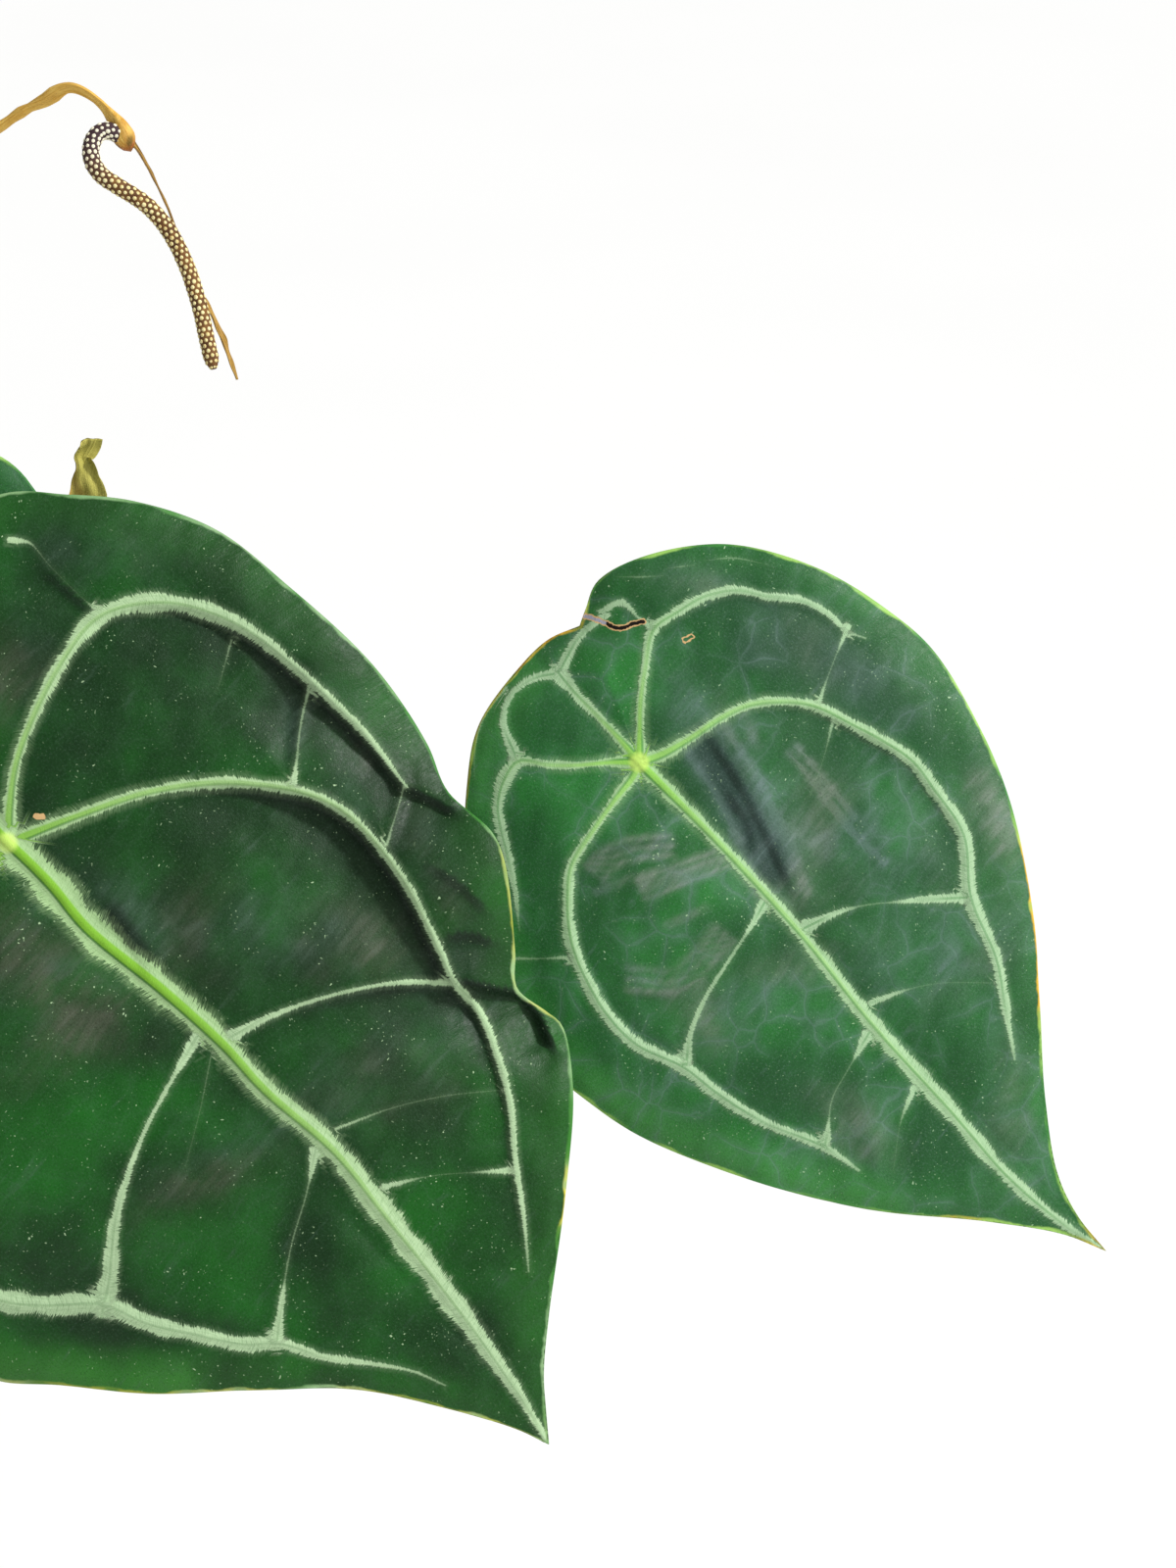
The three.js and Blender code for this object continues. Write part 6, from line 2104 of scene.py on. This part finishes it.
@dataclass(frozen=True)
class Pot:
    """Turned clay pot with a proud rim band and drain holes in its floor."""

    height: float = 132
    rim_radius: float = 75
    shoulder_radius: float = 69
    foot_radius: float = 50
    wall: float = 6.5
    band: float = 28
    drain_radius: float = 5
    drain_circle: float = 27
    drain_count: int = 4

    def radius_at(self, height: float) -> float:
        """The outer radius of the cone under the band."""
        share = height / (self.height - self.band)
        return self.foot_radius + (self.shoulder_radius - self.foot_radius) * share

    def profile(self) -> list[Point2]:
        """Radius and height from the centre of the foot, up the outside and down the inside."""
        band_foot = self.height - self.band
        rim, wall, top = self.rim_radius, self.wall, self.height
        return [
            (0, 0), (self.foot_radius - 2.2, 0), (self.foot_radius - 0.6, 0.5), (self.foot_radius, 1.8),
            (self.radius_at(band_foot) - 0.3, band_foot - 0.4), (rim - 2.6, band_foot + 0.2),
            (rim - 1.5, band_foot + 1.0), (rim - 1, band_foot + 3), (rim - 0.4, top - 14), (rim, top - 3.4),
            (rim - 0.5, top - 1.4), (rim - 1.8, top - 0.3), (rim - 3, top), (rim - 5.4, top - 0.2),
            (rim - 7.2, top - 1.2), (rim - wall - 1.8, top - 3.4),
            (self.radius_at(band_foot) - wall, band_foot - 6), (self.radius_at(wall) - wall - 3, wall + 1.5),
            (self.radius_at(wall) - wall - 6, wall), (0, wall),
        ]

    def build(self) -> Piece:
        """Spins the wall, cuts the drain holes and roughens the clay a little."""
        profile = self.profile()
        grid = bmesh.new()
        points = [grid.verts.new((radius, 0, height)) for radius, height in profile]
        edges = [grid.edges.new(pair) for pair in zip(points, points[1:])]
        for edge in list(edges):
            (low, high) = (edge.verts[0].co, edge.verts[1].co)
            cuts = max(0, round((high - low).length / 3) - 1)
            if cuts:
                bmesh.ops.subdivide_edges(grid, edges=[edge], cuts=cuts)
        bmesh.ops.spin(
            grid, geom=[*grid.verts, *grid.edges], cent=(0, 0, 0), axis=(0, 0, 1), angle=FULL_TURN, steps=160,
            use_merge=True, use_duplicate=False,
        )
        close_up(grid, 1e-3)
        places = np.array([vertex.co for vertex in grid.verts])
        out = places * (1, 1, 0)
        out /= np.maximum(np.linalg.norm(out, axis=1, keepdims=True), 1)
        turned = 0.1 * np.sin(places[:, 2] * 1.9 + 0.3 * np.sin(places[:, 0] / 20))
        dents = 0.22 * ripple(places, 38, 8) + 0.08 * ripple(places, 7, 9)
        above = ramp(1.9, 4, places[:, 2])
        move_to(grid, places + ((turned + dents - 0.3) * above)[:, None] * out)
        cut = self.drilled(to_object("pot_wall", grid))
        return settle("clay_pot", cut, CLAY.make(), Slot.CLAY, "pot")

    def drilled(self, wall: Piece) -> Mesh:
        """The wall with its drain holes cut, as a new mesh; the helpers are removed.

        Args:
            wall: The turned wall.

        Returns:
            The wall's mesh with its holes.
        """
        drills = bmesh.new()
        for hole in range(self.drain_count):
            x, y, _ = polar(self.drain_circle, 360 * (hole + 0.5) / self.drain_count, 0)
            bmesh.ops.create_cone(
                drills, cap_ends=True, segments=40, radius1=self.drain_radius, radius2=self.drain_radius,
                depth=4 * self.wall, matrix=Matrix.Translation((x, y, 0)),
            )
        drill = to_object("drills", drills)
        cutter = wall.modifiers.new("drains", "BOOLEAN")
        cutter.operation, cutter.object, cutter.solver = "DIFFERENCE", drill, "EXACT"
        seen = wall.evaluated_get(bpy.context.evaluated_depsgraph_get())
        cut = bmesh.new()
        cut.from_mesh(seen.to_mesh())
        seen.to_mesh_clear()
        for helper in (wall, drill):
            bpy.data.objects.remove(helper)
        return cut


@dataclass(frozen=True)
class SoilBed:
    """Airy soil: a lumpy bed with bark chips, grit and crumbs lying in it."""

    level: float = 118
    lump: float = 1.7
    edge: float = 65.2
    chips: int = 210
    grits: int = 120
    crumbs: int = 420
    stem_room: float = 14

    def top(self, x: Array, y: Array) -> Array:
        """Height of the bed."""
        waves = np.sin(x * 0.43 + 1.3 * np.sin(y * 0.31)) * np.cos(y * 0.37 + 1.1 * np.sin(x * 0.23))
        return self.level - 1 + self.lump * waves + 4 * np.exp(-(x * x + y * y) / 900)

    def build(self) -> Piece:
        """Builds the bed and strews it."""
        grid, around, share = sheet(150, 66)
        turn = around * FULL_TURN
        radius = share * self.edge
        x, y = radius * np.cos(turn), radius * np.sin(turn)
        flat = np.stack([x, y], axis=1)
        crumbly = 0.5 * ripple(flat, 4.2, 2) + 0.4 * ripple(flat, 2.2, 3)
        height = self.top(x, y) + crumbly - 1.2 * ramp(self.edge - 3, self.edge, radius)
        move_to(grid, np.stack([x, y, height], axis=1))
        bmesh.ops.remove_doubles(grid, verts=grid.verts[:], dist=1e-3)
        rim = [edge for edge in grid.edges if edge.is_boundary]
        skirt = bmesh.ops.extrude_edge_only(grid, edges=rim)["geom"]
        lowered = [item for item in skirt if isinstance(item, bmesh.types.BMVert)]
        bmesh.ops.translate(grid, verts=lowered, vec=(0, 0, -12))
        close_up(grid, 1e-4)
        keep(grid, "kind", np.zeros(len(grid.verts)))
        draw = np.random.default_rng(17)
        self.strew(grid, draw, self.chips, (3.2, 1.9, 1.0), (1, 0))
        self.strew(grid, draw, self.grits, (1.3, 1.2, 1.0), (0, 1))
        self.strew(grid, draw, self.crumbs, (1.1, 1.0, 0.8), (0, 0))
        return settle("soil_bed", grid, SOIL.make(), Slot.SOIL, "soil")

    def strew(
        self,
        grid: Mesh,
        draw: np.random.Generator,
        count: int,
        size: Point3,
        kind: Point2,
    ) -> None:
        """Lays small lumps in the bed.

        Args:
            grid: The mesh that they are added to.
            draw: Seeded random draw.
            count: How many.
            size: Half sizes of a middling lump.
            kind: How much chip and how much grit they are.
        """
        lump = Lump("kind", 9, 6)
        for _ in range(count):
            radius = self.stem_room + (self.edge - 3.5 - self.stem_room) * math.sqrt(draw.uniform())
            x, y, _ = polar(radius, draw.uniform(0, 360), 0)
            grown = draw.uniform(0.55, 1.35)
            spun = Matrix.Rotation(draw.uniform(0, FULL_TURN), 4, "Z")
            tilt = spun @ Matrix.Rotation(draw.uniform(-0.5, 0.5), 4, "X")
            stretch = Matrix.Diagonal((*(grown * half * draw.uniform(0.75, 1.3) for half in size), 1))
            height = float(self.top(np.array(x), np.array(y))) + 0.25 * size[2] * grown
            uneven = draw.uniform(0.86, 1.1, (len(lump.places), 1))
            carry = Matrix.Translation((x, y, height)) @ tilt @ stretch
            lump.lay(grid, carry, (*kind, draw.uniform()), uneven)
        lump.discard()


# Studio


@dataclass(frozen=True)
class SunLight:
    """A far, wide light: the way it comes from, its strength and how wide it looks, in degrees."""

    name: str
    source: Point3
    strength: float
    width: float

    def hang(self) -> None:
        """Puts the light in the scene."""
        light = bpy.data.lights.new(self.name, "SUN")
        light.energy = self.strength
        light.angle = math.radians(self.width)
        hung = put_in_scene(self.name, light)
        hung.rotation_euler = Vector(self.source).to_track_quat("Z", "Y").to_euler()


@dataclass(frozen=True)
class SoftLight:
    """A square soft light: where it stands, its side and its power in watts."""

    name: str
    place: Point3
    side: float
    power: float

    def hang(self, target: Vector) -> None:
        """Puts the light in the scene, facing the target.

        Args:
            target: Where the light points, in metres.
        """
        light = bpy.data.lights.new(self.name, "AREA")
        light.shape = "SQUARE"
        light.size = self.side * MM
        light.energy = self.power
        hung = put_in_scene(self.name, light)
        hung.location = Vector(self.place) * MM
        hung.rotation_euler = (target - hung.location).to_track_quat("-Z", "Y").to_euler()


@dataclass(frozen=True)
class Studio:
    """Pale floor, soft lights and the camera at the photograph's angle."""

    target: Point3 = (190, 9, 395)
    distance: float = 1000
    looking_down: float = 20
    focal_length: float = 93.75
    sensor: float = 36
    floor_size: float = 24000
    room_light: float = 0.29
    sun: SunLight = SunLight("key", (0.64, -0.2, 0.74), 3.4, 8)
    lights: tuple[SoftLight, ...] = (
        SoftLight("window", (820, -620, 900), 500, 2.5),
    )

    def build(self) -> None:
        """Sets up floor, lights and camera."""
        target = Vector(self.target) * MM
        self.sun.hang()
        for light in self.lights:
            light.hang(target)
        world = bpy.data.worlds.new("room")
        world.use_nodes = True
        background = world.node_tree.nodes["Background"]
        background.inputs["Color"].default_value = (1, 1, 1, 1)
        background.inputs["Strength"].default_value = self.room_light
        bpy.context.scene.world = world
        bpy.context.scene.view_settings.view_transform = "Standard"

        grid = bmesh.new()
        bmesh.ops.create_grid(grid, x_segments=4, y_segments=4, size=self.floor_size * MM / 2)
        floor = to_object("floor", grid)
        floor.data.materials.append(FLOOR.make())

        camera = bpy.data.cameras.new("camera")
        camera.lens = self.focal_length
        camera.sensor_width = self.sensor
        camera.clip_start, camera.clip_end = 0.01, 100
        holder = put_in_scene("camera", camera)
        tilt = math.radians(self.looking_down)
        back = Vector((0, -math.cos(tilt), math.sin(tilt)))
        holder.location = target + self.distance * MM * back
        holder.rotation_euler = (-back).to_track_quat("-Z", "Y").to_euler()
        bpy.context.scene.camera = holder


def main() -> None:
    """Builds each sub-assembly over the frame."""
    logging.basicConfig(level=logging.INFO, format="%(message)s")
    Studio().build()
    Pot().build()
    SoilBed().build()
    Stem().build()
    for petiole in PETIOLES:
        petiole.build()
    for flower in FLOWERS:
        flower.build()
    for blade in BLADES:
        blade.build()


if __name__ == "__main__":
    main()
